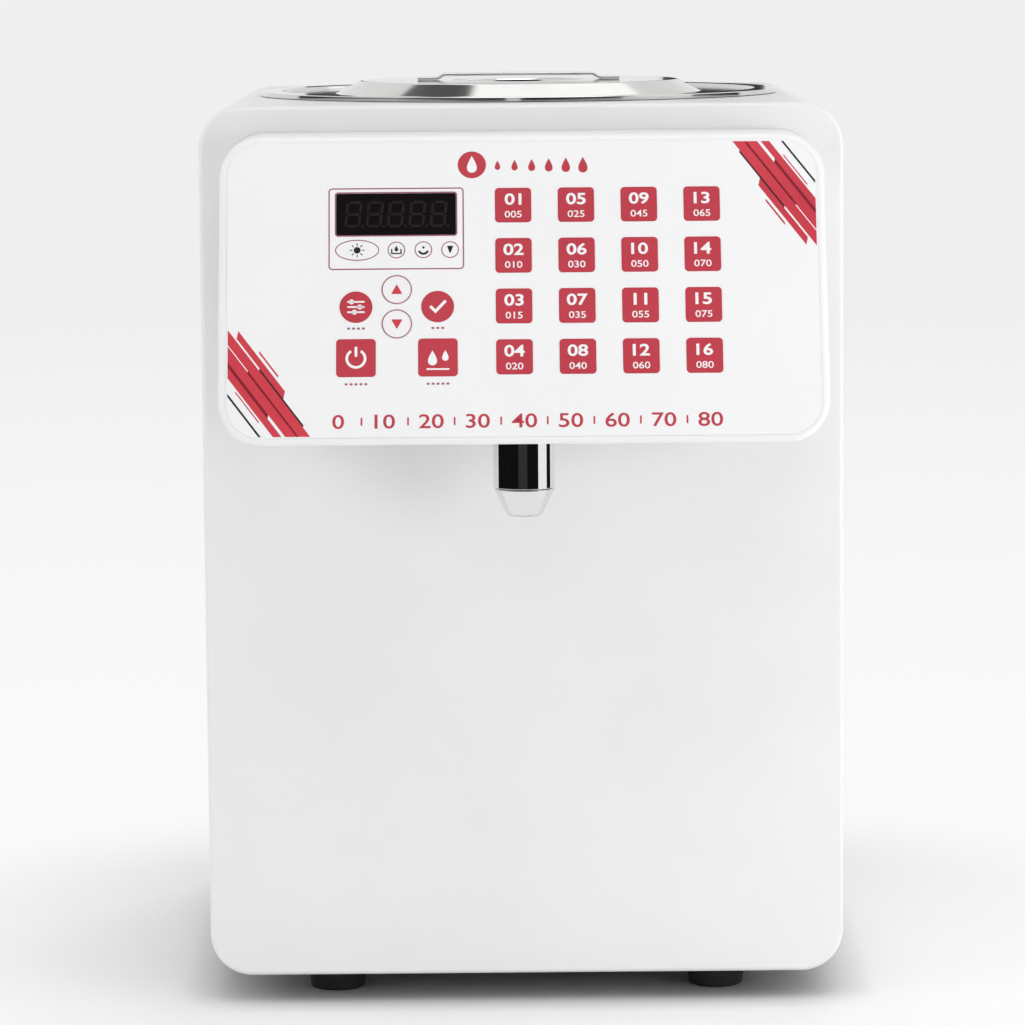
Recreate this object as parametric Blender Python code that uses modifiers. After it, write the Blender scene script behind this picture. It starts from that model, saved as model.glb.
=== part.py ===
"""Countertop fructose dispenser: a white cabinet with an overhanging keypad head, a
syrup tank under a round lid, and a gear pump that feeds the nozzle.

Metres, +Z up. The origin is on the floor, under the middle of the whole dispenser.
The head looks along -Y. Pieces that touch keep SEAT_GAP between them."""

import math

import bmesh
import bpy
from mathutils import Vector

# Clearances
SEAT_GAP = 0.0003
SLIDE_GAP = 0.00025
CUT_OVERRUN = 0.003
JOIN_OVERLAP = 0.0004
WELD_DISTANCE = 0.00001

# Cabinet, a white coated steel case that is open at the back
BODY_WIDTH = 0.270
BODY_DEPTH = 0.280
BODY_HEIGHT = 0.370
BODY_CORNER_RADIUS = 0.018
BODY_EDGE_RADIUS = 0.002
BODY_WALL = 0.0015
WINDOW_WIDTH = 0.190
WINDOW_HEIGHT = 0.084
WINDOW_CORNER_RADIUS = 0.008

# Rubber feet
FOOT_HEIGHT = 0.012
FOOT_TOP_RADIUS = 0.0128
FOOT_BOTTOM_RADIUS = 0.0115
FOOT_EDGE = 0.0008
FOOT_INSET_X = 0.053
FOOT_INSET_Y = 0.034
FOOT_RECESS_RADIUS = 0.0045
FOOT_RECESS_DEPTH = 0.005

# Head, which overhangs the front and leans back
HEAD_SIDE_INSET = 0.011
HEAD_HEIGHT = 0.123
HEAD_DROP = 0.011
HEAD_REACH = 0.0838
HEAD_CORNER_RADIUS = 0.0175
HEAD_EDGE = 0.0026
HEAD_WALL = 0.0025
PANEL_LEAN = math.radians(22)
BOSS_RADIUS = 0.003
BOSS_HEIGHT = 0.0037

# Graphic overlay and the display window in it
OVERLAY_MARGIN = 0.0008
OVERLAY_THICKNESS = 0.0005
OVERLAY_CORNER_RADIUS = 0.0145
POCKET_DEPTH = 0.0006
DISPLAY_WIDTH = 0.0488
DISPLAY_HEIGHT = 0.0179
DISPLAY_CORNER_RADIUS = 0.0008
DISPLAY_X = -0.0516
DISPLAY_V = 0.0320
DISPLAY_LEDGE = 0.0022

# Keys, placed on the leaning panel by x and by v, which runs up the slope
KEY_TRAVEL = 0.0004
KEY_STOP_GAP = 0.0001
KEY_CAP_THICKNESS = 0.0005
KEY_STEM_RADIUS = 0.0025
STEM_GAP = 0.0004
DOSE_KEY_SIZE = 0.0148
DOSE_KEY_CORNER = 0.0016
DOSE_PITCH_X = 0.0257
DOSE_PITCH_V = 0.0216
DOSE_GRID_X = 0.0348
DOSE_GRID_V = 0.0031
DOSE_COLUMNS = 4
DOSE_ROWS = 4
WIDE_KEY_SIZE = 0.0160
ROUND_KEY_RADIUS = 0.00665
ARROW_KEY_RADIUS = 0.00625
FUNCTION_LEFT_X = -0.0680
FUNCTION_RIGHT_X = -0.0348
ARROW_SPREAD = 0.0146

# Boards behind the panel
SWITCH_SIZE = 0.0060
SWITCH_HEIGHT = 0.0020
BOARD_THICKNESS = 0.0016
KEYPAD_BOARD_WIDTH = 0.180
KEYPAD_BOARD_HEIGHT = 0.100
KEYPAD_BOARD_CORNER = 0.004
BOSS_INSET = 0.004
BOSS_MIDDLE_X = -0.0185
DIGIT_BLOCK_INSET = 0.0008

# Tank, hung by its flange in the mouth of the cabinet
TANK_CLEARANCE = 0.0282
TANK_WALL = 0.0008
TANK_FLANGE_WIDTH = 0.0044
TANK_MOUTH_GAP = 0.0012
TANK_LIFT = 0.1281
TANK_KNUCKLE = 0.015
TANK_CONE_DROP = 0.010
TANK_HOLE_RADIUS = 0.0080
OUTLET_COLLAR_RADIUS = 0.0120
OUTLET_COLLAR_HEIGHT = 0.005
OUTLET_SPIGOT_RISE = 0.006
OUTLET_BORE_RADIUS = 0.0030
OUTLET_NUT_HEIGHT = 0.003
HEATER_THICKNESS = 0.002
HEATER_HEIGHT = 0.070
HEATER_RISE = 0.006
THERMOSTAT_RADIUS = 0.008
THERMOSTAT_DEPTH = 0.007

# Lid, pressed from one sheet, with a strap across its finger well
LID_OVERHANG = 0.0080
LID_SHEET = 0.0008
LID_RIM_WIDTH = 0.0094
LID_MOAT_SLOPE = 0.0010
LID_MOAT_WIDTH = 0.0229
LID_PLATEAU_SLOPE = 0.0110
LID_MOAT_DEPTH = 0.0013
LID_PLATEAU_RISE = 0.0042
LID_WELL_RADIUS = 0.029
LID_WELL_SLOPE = 0.004
LID_WELL_DEPTH = 0.011
HANDLE_LENGTH = 0.072
HANDLE_WIDTH = 0.016
HANDLE_SHEET = 0.0012
HANDLE_RISE = 0.0029
HANDLE_FOOT = 0.009
HANDLE_SLOPE = 0.003

# Nozzle under the head
NOZZLE_OFFSET = 0.045
NOZZLE_RADIUS = 0.01275
NOZZLE_SLEEVE_LENGTH = 0.0212
NOZZLE_TIP_LENGTH = 0.0115
NOZZLE_TIP_RADIUS = 0.0078
NOZZLE_TIP_EDGE = 0.0010
NOZZLE_BORE_RADIUS = 0.0050
NOZZLE_STEM_RADIUS = 0.0080
NOZZLE_STEM_LENGTH = 0.014
NOZZLE_POCKET_RADIUS = 0.0096
NOZZLE_POCKET_DEPTH = 0.014
NOZZLE_SPIGOT_LENGTH = 0.008
NOZZLE_NUT_RADIUS = 0.0125
NOZZLE_NUT_HEIGHT = 0.006
VALVE_HEIGHT = 0.005
VALVE_BORE_RADIUS = 0.0006

# Hoses and their barbs
HOSE_RADIUS = 0.0050
HOSE_WALL = 0.0012
BARB_RADIUS = 0.0032
BARB_LENGTH = 0.012
HOSE_STEPS_PER_RUN = 3

# Gear pump and its motor, whose drive shaft lies along Y
PUMP_AXIS_Z = 0.058
PUMP_FRONT_OFFSET = 0.071
GEAR_TEETH = 12
GEAR_MODULE = 0.00167
GEAR_ADDENDUM_SHARE = 0.85
GEAR_DEDENDUM_SHARE = 1.20
GEAR_PRESSURE_ANGLE = math.radians(25)
GEAR_BACKLASH = 0.00035
GEAR_WIDTH = 0.012
GEAR_SIDE_GAP = 0.0003
SHAFT_RADIUS = 0.0030
SHAFT_STUB = 0.0030
DRIVE_SHAFT_TAIL = 0.014
PUMP_WIDTH = 0.046
PUMP_MARGIN = 0.009
PUMP_BACK_WALL = 0.0045
PUMP_COVER_THICKNESS = 0.0050
PUMP_CORNER = 0.005
PORT_BORE_RADIUS = 0.0024
PORT_COLLAR_RADIUS = 0.0055
PORT_COLLAR_LENGTH = 0.003
BRACKET_SHEET = 0.003
BRACKET_WIDTH = 0.050
BRACKET_FOOT = 0.040
BRACKET_HEIGHT = 0.062
BRACKET_BORE_RADIUS = 0.0065
MOTOR_RADIUS = 0.0185
MOTOR_LENGTH = 0.062
MOTOR_BOSS_RADIUS = 0.0060
MOTOR_BOSS_LENGTH = 0.0025
MOTOR_REAR_RADIUS = 0.0075
MOTOR_REAR_LENGTH = 0.004
MOTOR_EDGE = 0.0015
GEARBOX_LENGTH = 0.024
GEARBOX_GROOVE = 0.0006

# Inner base plate with the supply and the control board
BASE_SIDE_CLEARANCE = 0.017
BASE_END_CLEARANCE = 0.009
BASE_SHEET = 0.0015
BASE_CORNER = 0.006
SUPPLY_WIDTH = 0.058
SUPPLY_DEPTH = 0.110
SUPPLY_HEIGHT = 0.036
SUPPLY_EDGE = 0.0015
SUPPLY_EDGE_INSET = 0.007
SUPPLY_REAR_CLEARANCE = 0.008
CONTROL_WIDTH = 0.078
CONTROL_DEPTH = 0.104
CONTROL_EDGE_INSET = 0.009
CONTROL_REAR_CLEARANCE = 0.017
STANDOFF_HEIGHT = 0.006
STANDOFF_RADIUS = 0.0025
STANDOFF_INSET = 0.005
CHIP_HEIGHT = 0.018

# Rear cover, sunk into the open back of the cabinet
REAR_INSET = 0.005
REAR_SHEET = 0.0012
VENT_COUNT = 9
VENT_WIDTH = 0.0032
VENT_LENGTH = 0.060
VENT_PITCH = 0.0085
VENT_DROP = 0.082
INLET_INSET_X = 0.060
INLET_Z = 0.060
INLET_WIDTH = 0.0275
INLET_HEIGHT = 0.0200
INLET_CORNER = 0.0030
INLET_DEPTH = 0.022
INLET_FLANGE_WIDTH = 0.0500
INLET_FLANGE_HEIGHT = 0.0240
INLET_FLANGE_THICKNESS = 0.0025
INLET_FLANGE_CORNER = 0.0100
INLET_CAVITY_WIDTH = 0.0240
INLET_CAVITY_HEIGHT = 0.0164
INLET_CAVITY_DEPTH = 0.0180
PIN_THICKNESS = 0.0020
PIN_HEIGHT = 0.0040
PIN_LENGTH = 0.0150
PIN_SPACING = 0.0140
EARTH_PIN_RISE = 0.0040
LINE_PIN_DROP = 0.0015
ROCKER_OFFSET_X = 0.045
ROCKER_FRAME_WIDTH = 0.0150
ROCKER_FRAME_HEIGHT = 0.0210
ROCKER_FRAME_FLANGE = 0.0020
ROCKER_HOUSING_WIDTH = 0.0128
ROCKER_HOUSING_HEIGHT = 0.0190
ROCKER_HOUSING_DEPTH = 0.0140
ROCKER_WIDTH = 0.0094
ROCKER_LENGTH = 0.0150
ROCKER_TILT = math.radians(8)
ROCKER_AXIS_DEPTH = 0.0022
ROCKER_FRAME_CORNER = 0.0013

# Turns that lay a piece's top towards the front, towards the back, or along X
TOP_TO_FRONT = (math.pi / 2, 0, 0)
TOP_TO_BACK = (math.pi / 2, 0, math.pi)
TOP_TO_RIGHT = (0, math.pi / 2, 0)

# How finely round things are faceted
LARGE_ROUND_STEPS = 40
SMALL_ROUND_STEPS = 20
TINY_ROUND_STEPS = 10
CHAMBER_STEPS = 25
CORNER_STEPS = 4
SMALL_CORNER_STEPS = 2
HEAD_EDGE_STEPS = 3
HEX_SIDES = 6
SHARP_ANGLE = math.radians(35)
ROUND_PROFILE_SHARE = 0.5

# Heights and planes that follow from the sizes above
BODY_BOTTOM = FOOT_HEIGHT
BODY_TOP = BODY_BOTTOM + BODY_HEIGHT
HEAD_WIDTH = BODY_WIDTH - 2 * HEAD_SIDE_INSET
HEAD_TOP = BODY_TOP - HEAD_DROP
HEAD_BOTTOM = HEAD_TOP - HEAD_HEIGHT
LOW_EDGE_RADIUS = HEAD_EDGE / math.tan((math.pi / 2 + PANEL_LEAN) / 2)
LOW_EDGE_SETBACK = HEAD_EDGE - LOW_EDGE_RADIUS
OVERALL_DEPTH = BODY_DEPTH + HEAD_REACH - LOW_EDGE_SETBACK
REAR_Y = OVERALL_DEPTH / 2
FRONT_Y = REAR_Y - BODY_DEPTH
BODY_MIDDLE_Y = (REAR_Y + FRONT_Y) / 2
PANEL_Z = (HEAD_TOP + HEAD_BOTTOM) / 2
PANEL_Y = FRONT_Y - HEAD_REACH + HEAD_HEIGHT / 2 * math.tan(PANEL_LEAN)
PANEL_HALF_WIDTH = HEAD_WIDTH / 2 - HEAD_EDGE
PANEL_HALF_HEIGHT = HEAD_HEIGHT / 2 / math.cos(PANEL_LEAN) - HEAD_EDGE
OVERLAY_WIDTH = 2 * (PANEL_HALF_WIDTH - OVERLAY_MARGIN)
OVERLAY_HEIGHT = 2 * (PANEL_HALF_HEIGHT - OVERLAY_MARGIN)
BOARD_FACE_W = -HEAD_WALL - BOSS_HEIGHT - SEAT_GAP
TANK_FLANGE_TOP = BODY_TOP + SEAT_GAP + TANK_WALL
TANK_RADIUS = min(BODY_WIDTH, BODY_DEPTH) / 2 - TANK_CLEARANCE
TANK_FLANGE_RADIUS = TANK_RADIUS + TANK_FLANGE_WIDTH
TANK_LOW = BODY_BOTTOM + TANK_LIFT
TANK_KNUCKLE_TOP = TANK_LOW + TANK_CONE_DROP + TANK_KNUCKLE
LID_RIM_TOP = TANK_FLANGE_TOP + SEAT_GAP + LID_SHEET
LID_MOAT_TOP = LID_RIM_TOP - LID_MOAT_DEPTH
LID_PLATEAU_TOP = LID_RIM_TOP + LID_PLATEAU_RISE
LID_RADIUS = TANK_RADIUS + LID_OVERHANG
LID_RIM_INNER_RADIUS = LID_RADIUS - LID_RIM_WIDTH
LID_MOAT_OUTER_RADIUS = LID_RIM_INNER_RADIUS - LID_MOAT_SLOPE
LID_MOAT_INNER_RADIUS = LID_MOAT_OUTER_RADIUS - LID_MOAT_WIDTH
LID_PLATEAU_RADIUS = LID_MOAT_INNER_RADIUS - LID_PLATEAU_SLOPE
NOZZLE_Y = FRONT_Y - NOZZLE_OFFSET
NOZZLE_TOP = HEAD_BOTTOM - SEAT_GAP
NOZZLE_SLEEVE_LOW = NOZZLE_TOP - NOZZLE_SLEEVE_LENGTH
GEAR_PITCH_RADIUS = GEAR_MODULE * GEAR_TEETH / 2
GEAR_TIP_RADIUS = GEAR_PITCH_RADIUS + GEAR_ADDENDUM_SHARE * GEAR_MODULE
GEAR_CENTRES = 2 * GEAR_PITCH_RADIUS
PUMP_FRONT_Y = FRONT_Y + PUMP_FRONT_OFFSET
HOUSING_DEPTH = GEAR_WIDTH + 2 * GEAR_SIDE_GAP + PUMP_BACK_WALL
HOUSING_FRONT_Y = PUMP_FRONT_Y + PUMP_COVER_THICKNESS + SEAT_GAP
HOUSING_BACK_Y = HOUSING_FRONT_Y + HOUSING_DEPTH
GEAR_FRONT_Y = HOUSING_FRONT_Y + GEAR_SIDE_GAP
BRACKET_FRONT_Y = HOUSING_BACK_Y + SEAT_GAP
MOTOR_FRONT_Y = BRACKET_FRONT_Y + BRACKET_SHEET + SEAT_GAP
PORT_Z = PUMP_AXIS_Z + GEAR_CENTRES / 2
PUMP_HEIGHT = GEAR_CENTRES + 2 * (GEAR_TIP_RADIUS + PUMP_MARGIN)
INNER_FLOOR = BODY_BOTTOM + BODY_WALL
BASE_TOP = INNER_FLOOR + SEAT_GAP + BASE_SHEET
REAR_FACE_Y = REAR_Y - REAR_INSET
VENT_Z = BODY_TOP - VENT_DROP
INLET_X = INLET_INSET_X - BODY_WIDTH / 2
ROCKER_X = INLET_X + ROCKER_OFFSET_X
BASE_WIDTH = BODY_WIDTH - 2 * BASE_SIDE_CLEARANCE
BASE_DEPTH = BODY_DEPTH - 2 * BASE_END_CLEARANCE
SUPPLY_X = SUPPLY_EDGE_INSET + SUPPLY_WIDTH / 2 - BASE_WIDTH / 2
SUPPLY_Y = REAR_FACE_Y - INLET_DEPTH - SUPPLY_REAR_CLEARANCE - SUPPLY_DEPTH / 2
CONTROL_X = BASE_WIDTH / 2 - CONTROL_EDGE_INSET - CONTROL_WIDTH / 2
CONTROL_Y = REAR_FACE_Y - CONTROL_REAR_CLEARANCE - CONTROL_DEPTH / 2

# Routes between the ends of each hose and of the cable, chosen by hand, as shares of the
# cabinet's width, its depth behind the front face, and its height above its underside
SUCTION_ROUTE_SHARES = [
    (0.015, 0.509, 0.249),
    (0.089, 0.480, 0.219),
    (0.185, 0.423, 0.195),
    (0.244, 0.348, 0.173),
    (0.222, 0.291, 0.157),
]
DELIVERY_ROUTE_SHARES = [
    (-0.222, 0.295, 0.157),
    (-0.319, 0.259, 0.189),
    (-0.374, 0.173, 0.270),
    (-0.385, 0.098, 0.400),
    (-0.385, 0.077, 0.535),
    (-0.370, 0.066, 0.676),
    (-0.326, 0.037, 0.778),
    (-0.230, -0.013, 0.838),
    (-0.119, -0.073, 0.846),
    (-0.037, -0.127, 0.819),
]
CABLE_ROUTE_SHARES = [
    (0.341, 0.430, 0.049),
    (0.419, 0.280, 0.092),
    (0.419, 0.130, 0.238),
    (0.400, 0.073, 0.454),
    (0.378, 0.059, 0.676),
    (0.333, 0.016, 0.778),
    (0.259, -0.055, 0.816),
]
CABLE_RADIUS = 0.0022
CABLE_END_X = 0.058
CABLE_END_V = 0.010
CABLE_LEAD = 0.012

# Chips, relays and plugs of the control board: width, depth and height, then place, as shares
# of the board and of the tallest one
CONTROL_CHIP_SHARES = [
    ((0.25, 0.16, 0.85), (-0.28, 0.25)),
    ((0.25, 0.16, 0.85), (-0.28, 0.02)),
    ((0.16, 0.16, 0.20), (0.10, -0.05)),
    ((0.16, 0.13, 1.00), (0.22, 0.28)),
    ((0.40, 0.07, 0.60), (-0.05, -0.38)),
]

WHITE_COAT = ("white_coat", (0.88, 0.88, 0.885), 0.32, 0.0)
WHITE_PLASTIC = ("white_plastic", (0.90, 0.90, 0.905), 0.30, 0.0)
OVERLAY_FILM = ("overlay_film", (0.92, 0.92, 0.925), 0.28, 0.0)
RED_KEY = ("red_key", (0.62, 0.045, 0.075), 0.30, 0.0)
WHITE_KEY = ("white_key", (0.92, 0.91, 0.92), 0.30, 0.0)
DARK_LENS = ("dark_lens", (0.010, 0.010, 0.012), 0.08, 0.0)
STAINLESS = ("stainless", (0.62, 0.62, 0.60), 0.22, 1.0)
CHROME = ("chrome", (0.75, 0.75, 0.75), 0.05, 1.0)
BLACK_RUBBER = ("black_rubber", (0.02, 0.02, 0.02), 0.75, 0.0)
BLACK_PLASTIC = ("black_plastic", (0.03, 0.03, 0.03), 0.45, 0.0)
SILICONE = ("silicone", (0.80, 0.80, 0.78), 0.50, 0.0)
BOARD_GREEN = ("board_green", (0.03, 0.22, 0.08), 0.45, 0.0)
ALUMINIUM = ("aluminium", (0.70, 0.70, 0.71), 0.40, 1.0)
BRASS = ("brass", (0.70, 0.52, 0.24), 0.30, 1.0)


def clear_scene():
    for old in list(bpy.data.objects):
        bpy.data.objects.remove(old, do_unlink=True)


def new_collection(name):
    collection = bpy.data.collections.new(name)
    bpy.context.scene.collection.children.link(collection)
    return collection


def finish_material(finish):
    """The Principled material for one finish, made once."""
    name, colour, roughness, metallic = finish
    material = bpy.data.materials.get(name)
    if material is None:
        material = bpy.data.materials.new(name)
        material.use_nodes = True
        shader = material.node_tree.nodes["Principled BSDF"]
        shader.inputs["Base Color"].default_value = (*colour, 1.0)
        shader.inputs["Roughness"].default_value = roughness
        shader.inputs["Metallic"].default_value = metallic
        material.diffuse_color = (*colour, 1.0)
    return material


clear_scene()
PARTS = new_collection("fructose_dispenser")
CUTTERS = new_collection("cutters")


def add_part(name, data, finish, location=(0, 0, 0), rotation=(0, 0, 0), parent=None):
    """A named piece of the dispenser."""
    part = bpy.data.objects.new(name, data)
    if not data.materials:
        data.materials.append(finish_material(finish))
    PARTS.objects.link(part)
    place(part, location, rotation, parent)
    return part


def add_cutter(name, data, location=(0, 0, 0), rotation=(0, 0, 0), parent=None):
    """A guide shape that cuts or joins another piece."""
    cutter = bpy.data.objects.new(name, data)
    CUTTERS.objects.link(cutter)
    cutter.hide_render = True
    cutter.display_type = "WIRE"
    place(cutter, location, rotation, parent)
    return cutter


def place(thing, location, rotation, parent):
    thing.location = location
    thing.rotation_euler = rotation
    thing.parent = parent


def combine(target, guide, operation="DIFFERENCE"):
    """Cut the guide out of the target, or join it on with UNION."""
    modifier = target.modifiers.new(guide.name, "BOOLEAN")
    modifier.operation = operation
    modifier.solver = "EXACT"
    modifier.object = guide


def settled_mesh(thing, name):
    """The thing's mesh with its modifiers taken in, so that copies can share it."""
    bpy.context.view_layer.update()
    evaluated = thing.evaluated_get(bpy.context.evaluated_depsgraph_get())
    mesh = bpy.data.meshes.new_from_object(evaluated)
    mesh.name = name
    return mesh


def smooth(mesh):
    mesh.shade_smooth()
    mesh.set_sharp_from_angle(angle=SHARP_ANGLE)
    return mesh


def mesh_from_bmesh(work, name):
    mesh = bpy.data.meshes.new(name)
    work.to_mesh(mesh)
    work.free()
    return mesh


def round_edges(work, edges, radius, steps):
    bmesh.ops.bevel(
        work, geom=edges, offset=radius, segments=steps, profile=ROUND_PROFILE_SHARE, affect="EDGES"
    )


def arc(centre, radius, start, end, steps):
    """Points on an arc, both ends included."""
    x, y = centre
    angles = [start + i * (end - start) / steps for i in range(steps + 1)]
    return [(x + radius * math.cos(angle), y + radius * math.sin(angle)) for angle in angles]


def rounded_rectangle(width, height, radius, steps=CORNER_STEPS, centre=(0, 0)):
    """Anticlockwise outline of a rectangle whose corners are arcs."""
    right = width / 2 - radius
    top = height / 2 - radius
    points = []
    for quarter, (sx, sy) in enumerate([(1, 1), (-1, 1), (-1, -1), (1, -1)]):
        start = quarter * math.pi / 2
        corner = (centre[0] + sx * right, centre[1] + sy * top)
        points += arc(corner, radius, start, start + math.pi / 2, steps)
    return points


def circle(radius, steps=SMALL_ROUND_STEPS, centre=(0, 0)):
    return arc(centre, radius, 0, 2 * math.pi, steps)[:-1]


def slot(width, length, centre):
    """Outline of an upright slot with round ends."""
    radius = width / 2
    x, y = centre
    reach = length / 2 - radius
    upper = arc((x, y + reach), radius, 0, math.pi, CORNER_STEPS)
    return [*upper, *arc((x, y - reach), radius, math.pi, 2 * math.pi, CORNER_STEPS)]


def plate_mesh(name, outline, holes, thickness, low=None):
    """A flat plate in XY with holes, from low (half its thickness below zero by default) up."""
    curve = bpy.data.curves.new(name, "CURVE")
    curve.dimensions = "2D"
    curve.fill_mode = "BOTH"
    curve.extrude = thickness / 2
    for loop in [outline, *holes]:
        spline = curve.splines.new("POLY")
        spline.points.add(len(loop) - 1)
        for point, (x, y) in zip(spline.points, loop):
            point.co = (x, y, 0, 1)
        spline.use_cyclic_u = True
    return welded_curve(curve, name, 0 if low is None else low + thickness / 2)


def welded_curve(curve, name, lift=0):
    """The curve as a mesh whose caps are welded on, raised by lift."""
    carrier = bpy.data.objects.new(name, curve)
    CUTTERS.objects.link(carrier)
    mesh = settled_mesh(carrier, name)
    bpy.data.objects.remove(carrier, do_unlink=True)
    work = bmesh.new()
    work.from_mesh(mesh)
    bmesh.ops.remove_doubles(work, verts=work.verts, dist=WELD_DISTANCE)
    bmesh.ops.translate(work, verts=work.verts, vec=(0, 0, lift))
    work.to_mesh(mesh)
    work.free()
    return mesh


def boxes_mesh(name, boxes):
    """Boxes in one mesh, each given by its size and its centre."""
    work = bmesh.new()
    for size, centre in boxes:
        made = bmesh.ops.create_cube(work, size=1)["verts"]
        bmesh.ops.scale(work, vec=size, verts=made)
        bmesh.ops.translate(work, vec=centre, verts=made)
    return mesh_from_bmesh(work, name)


def rods_mesh(name, rods, steps=TINY_ROUND_STEPS):
    """Upright rods in one mesh, each given by its radius, low z, high z and centre in XY."""
    work = bmesh.new()
    for radius, low, high, (x, y) in rods:
        made = bmesh.ops.create_cone(
            work, cap_ends=True, segments=steps, radius1=radius, radius2=radius, depth=high - low
        )["verts"]
        bmesh.ops.translate(work, vec=(x, y, (low + high) / 2), verts=made)
    return mesh_from_bmesh(work, name)


def turn_modifier(thing, steps):
    screw = thing.modifiers.new("turn", "SCREW")
    screw.angle = 2 * math.pi
    screw.steps = steps
    screw.render_steps = steps
    screw.use_merge_vertices = True
    screw.merge_threshold = WELD_DISTANCE
    screw.use_smooth_shade = True


def profile_mesh(name, profile, closed):
    """Points (radius, z) in the XZ plane, joined in order. A closed one comes back to its start."""
    count = len(profile)
    edges = [(i, i + 1) for i in range(count - 1)]
    if closed:
        edges.append((count - 1, 0))
    mesh = bpy.data.meshes.new(name)
    mesh.from_pydata([(r, 0, z) for r, z in profile], edges, [])
    return mesh


def turned_mesh(name, profile, steps=SMALL_ROUND_STEPS, closed=True):
    """A turned solid about Z. The profile runs down its outer side."""
    carrier = add_cutter(name + "_profile", profile_mesh(name, profile, closed))
    turn_modifier(carrier, steps)
    mesh = settled_mesh(carrier, name)
    bpy.data.objects.remove(carrier, do_unlink=True)
    return smooth(mesh)


def turned_part(name, profile, finish, location, steps=SMALL_ROUND_STEPS, closed=True, rotation=(0, 0, 0)):
    """A turned piece that keeps its Screw modifier."""
    part = add_part(name, profile_mesh(name, profile, closed), finish, location, rotation)
    turn_modifier(part, steps)
    return part


def smooth_route(points, steps):
    """Points along a route with steps to each run. Its first and last runs stay straight."""
    route = [Vector(p) for p in points]
    pulls = [(after - before) / 2 for before, after in zip(route, route[2:])]
    pulls[0] = (route[1] - route[0]).normalized() * (route[2] - route[1]).length
    pulls[-1] = (route[-1] - route[-2]).normalized() * (route[-2] - route[-3]).length
    out = [route[0]]
    for i, (start, end) in enumerate(zip(route[1:-2], route[2:-1])):
        for k in range(steps):
            t = k / steps
            rise = 3 * t**2 - 2 * t**3
            lead = pulls[i] * (t**3 - 2 * t**2 + t)
            tail = pulls[i + 1] * (t**3 - t**2)
            out.append(start * (1 - rise) + end * rise + lead + tail)
    return [*out, route[-2], route[-1]]


def tube_curve(name, points, radius, capped):
    curve = bpy.data.curves.new(name, "CURVE")
    curve.dimensions = "3D"
    curve.bevel_depth = radius
    curve.bevel_resolution = 2
    curve.use_fill_caps = capped
    spline = curve.splines.new("POLY")
    spline.points.add(len(points) - 1)
    for point, place_on_route in zip(spline.points, points):
        point.co = (*place_on_route, 1)
    return curve


def route_points(shares):
    """Places inside the cabinet, and just ahead of it, from their shares."""
    return [
        (x_share * BODY_WIDTH, FRONT_Y + y_share * BODY_DEPTH, BODY_BOTTOM + z_share * BODY_HEIGHT)
        for x_share, y_share, z_share in shares
    ]


def make_cabinet():
    """The case: a rounded front face drawn back to the rear, then given its wall."""
    middle_z = (BODY_TOP + BODY_BOTTOM) / 2
    work = bmesh.new()
    outline = rounded_rectangle(BODY_WIDTH, BODY_HEIGHT, BODY_CORNER_RADIUS, centre=(0, middle_z))
    ring = [work.verts.new((x, FRONT_Y, z)) for x, z in outline]
    front = work.faces.new(ring)
    rim = list(front.edges)
    sides = bmesh.ops.extrude_edge_only(work, edges=rim)
    back = [v for v in sides["geom"] if isinstance(v, bmesh.types.BMVert)]
    bmesh.ops.translate(work, vec=(0, BODY_DEPTH, 0), verts=back)
    bmesh.ops.recalc_face_normals(work, faces=work.faces)
    if front.normal.y > 0:
        bmesh.ops.reverse_faces(work, faces=work.faces)
    round_edges(work, rim, BODY_EDGE_RADIUS, SMALL_CORNER_STEPS)
    cabinet = add_part("cabinet_shell", smooth(mesh_from_bmesh(work, "cabinet_shell")), WHITE_COAT)
    wall = cabinet.modifiers.new("wall", "SOLIDIFY")
    wall.thickness = BODY_WALL
    wall.offset = -1
    wall.use_even_offset = True
    mouth_low = BODY_TOP - BODY_WALL - CUT_OVERRUN
    mouth = (TANK_RADIUS + TANK_MOUTH_GAP, mouth_low, BODY_TOP + CUT_OVERRUN, (0, BODY_MIDDLE_Y))
    combine(cabinet, add_cutter("tank_mouth", rods_mesh("tank_mouth", [mouth], LARGE_ROUND_STEPS)))
    window = plate_mesh(
        "head_window",
        rounded_rectangle(WINDOW_WIDTH, WINDOW_HEIGHT, WINDOW_CORNER_RADIUS, SMALL_CORNER_STEPS),
        [],
        BODY_WALL + 2 * CUT_OVERRUN,
    )
    at = (0, FRONT_Y + BODY_WALL / 2, PANEL_Z)
    combine(cabinet, add_cutter("head_window", window, at, TOP_TO_FRONT))


def make_feet():
    top = FOOT_HEIGHT - SEAT_GAP
    profile = [
        (0, top),
        (FOOT_TOP_RADIUS, top),
        (FOOT_BOTTOM_RADIUS, FOOT_EDGE),
        (FOOT_BOTTOM_RADIUS - FOOT_EDGE, 0),
        (FOOT_RECESS_RADIUS, 0),
        (FOOT_RECESS_RADIUS, FOOT_RECESS_DEPTH),
        (0, FOOT_RECESS_DEPTH),
    ]
    mesh = turned_mesh("foot", profile, closed=False)
    foot_x = BODY_WIDTH / 2 - FOOT_INSET_X
    for end, y in (("front", FRONT_Y + FOOT_INSET_Y), ("rear", REAR_Y - FOOT_INSET_Y)):
        for side, x in (("left", -foot_x), ("right", foot_x)):
            add_part(f"foot_{end}_{side}", mesh, BLACK_RUBBER, (x, y, 0))


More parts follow.
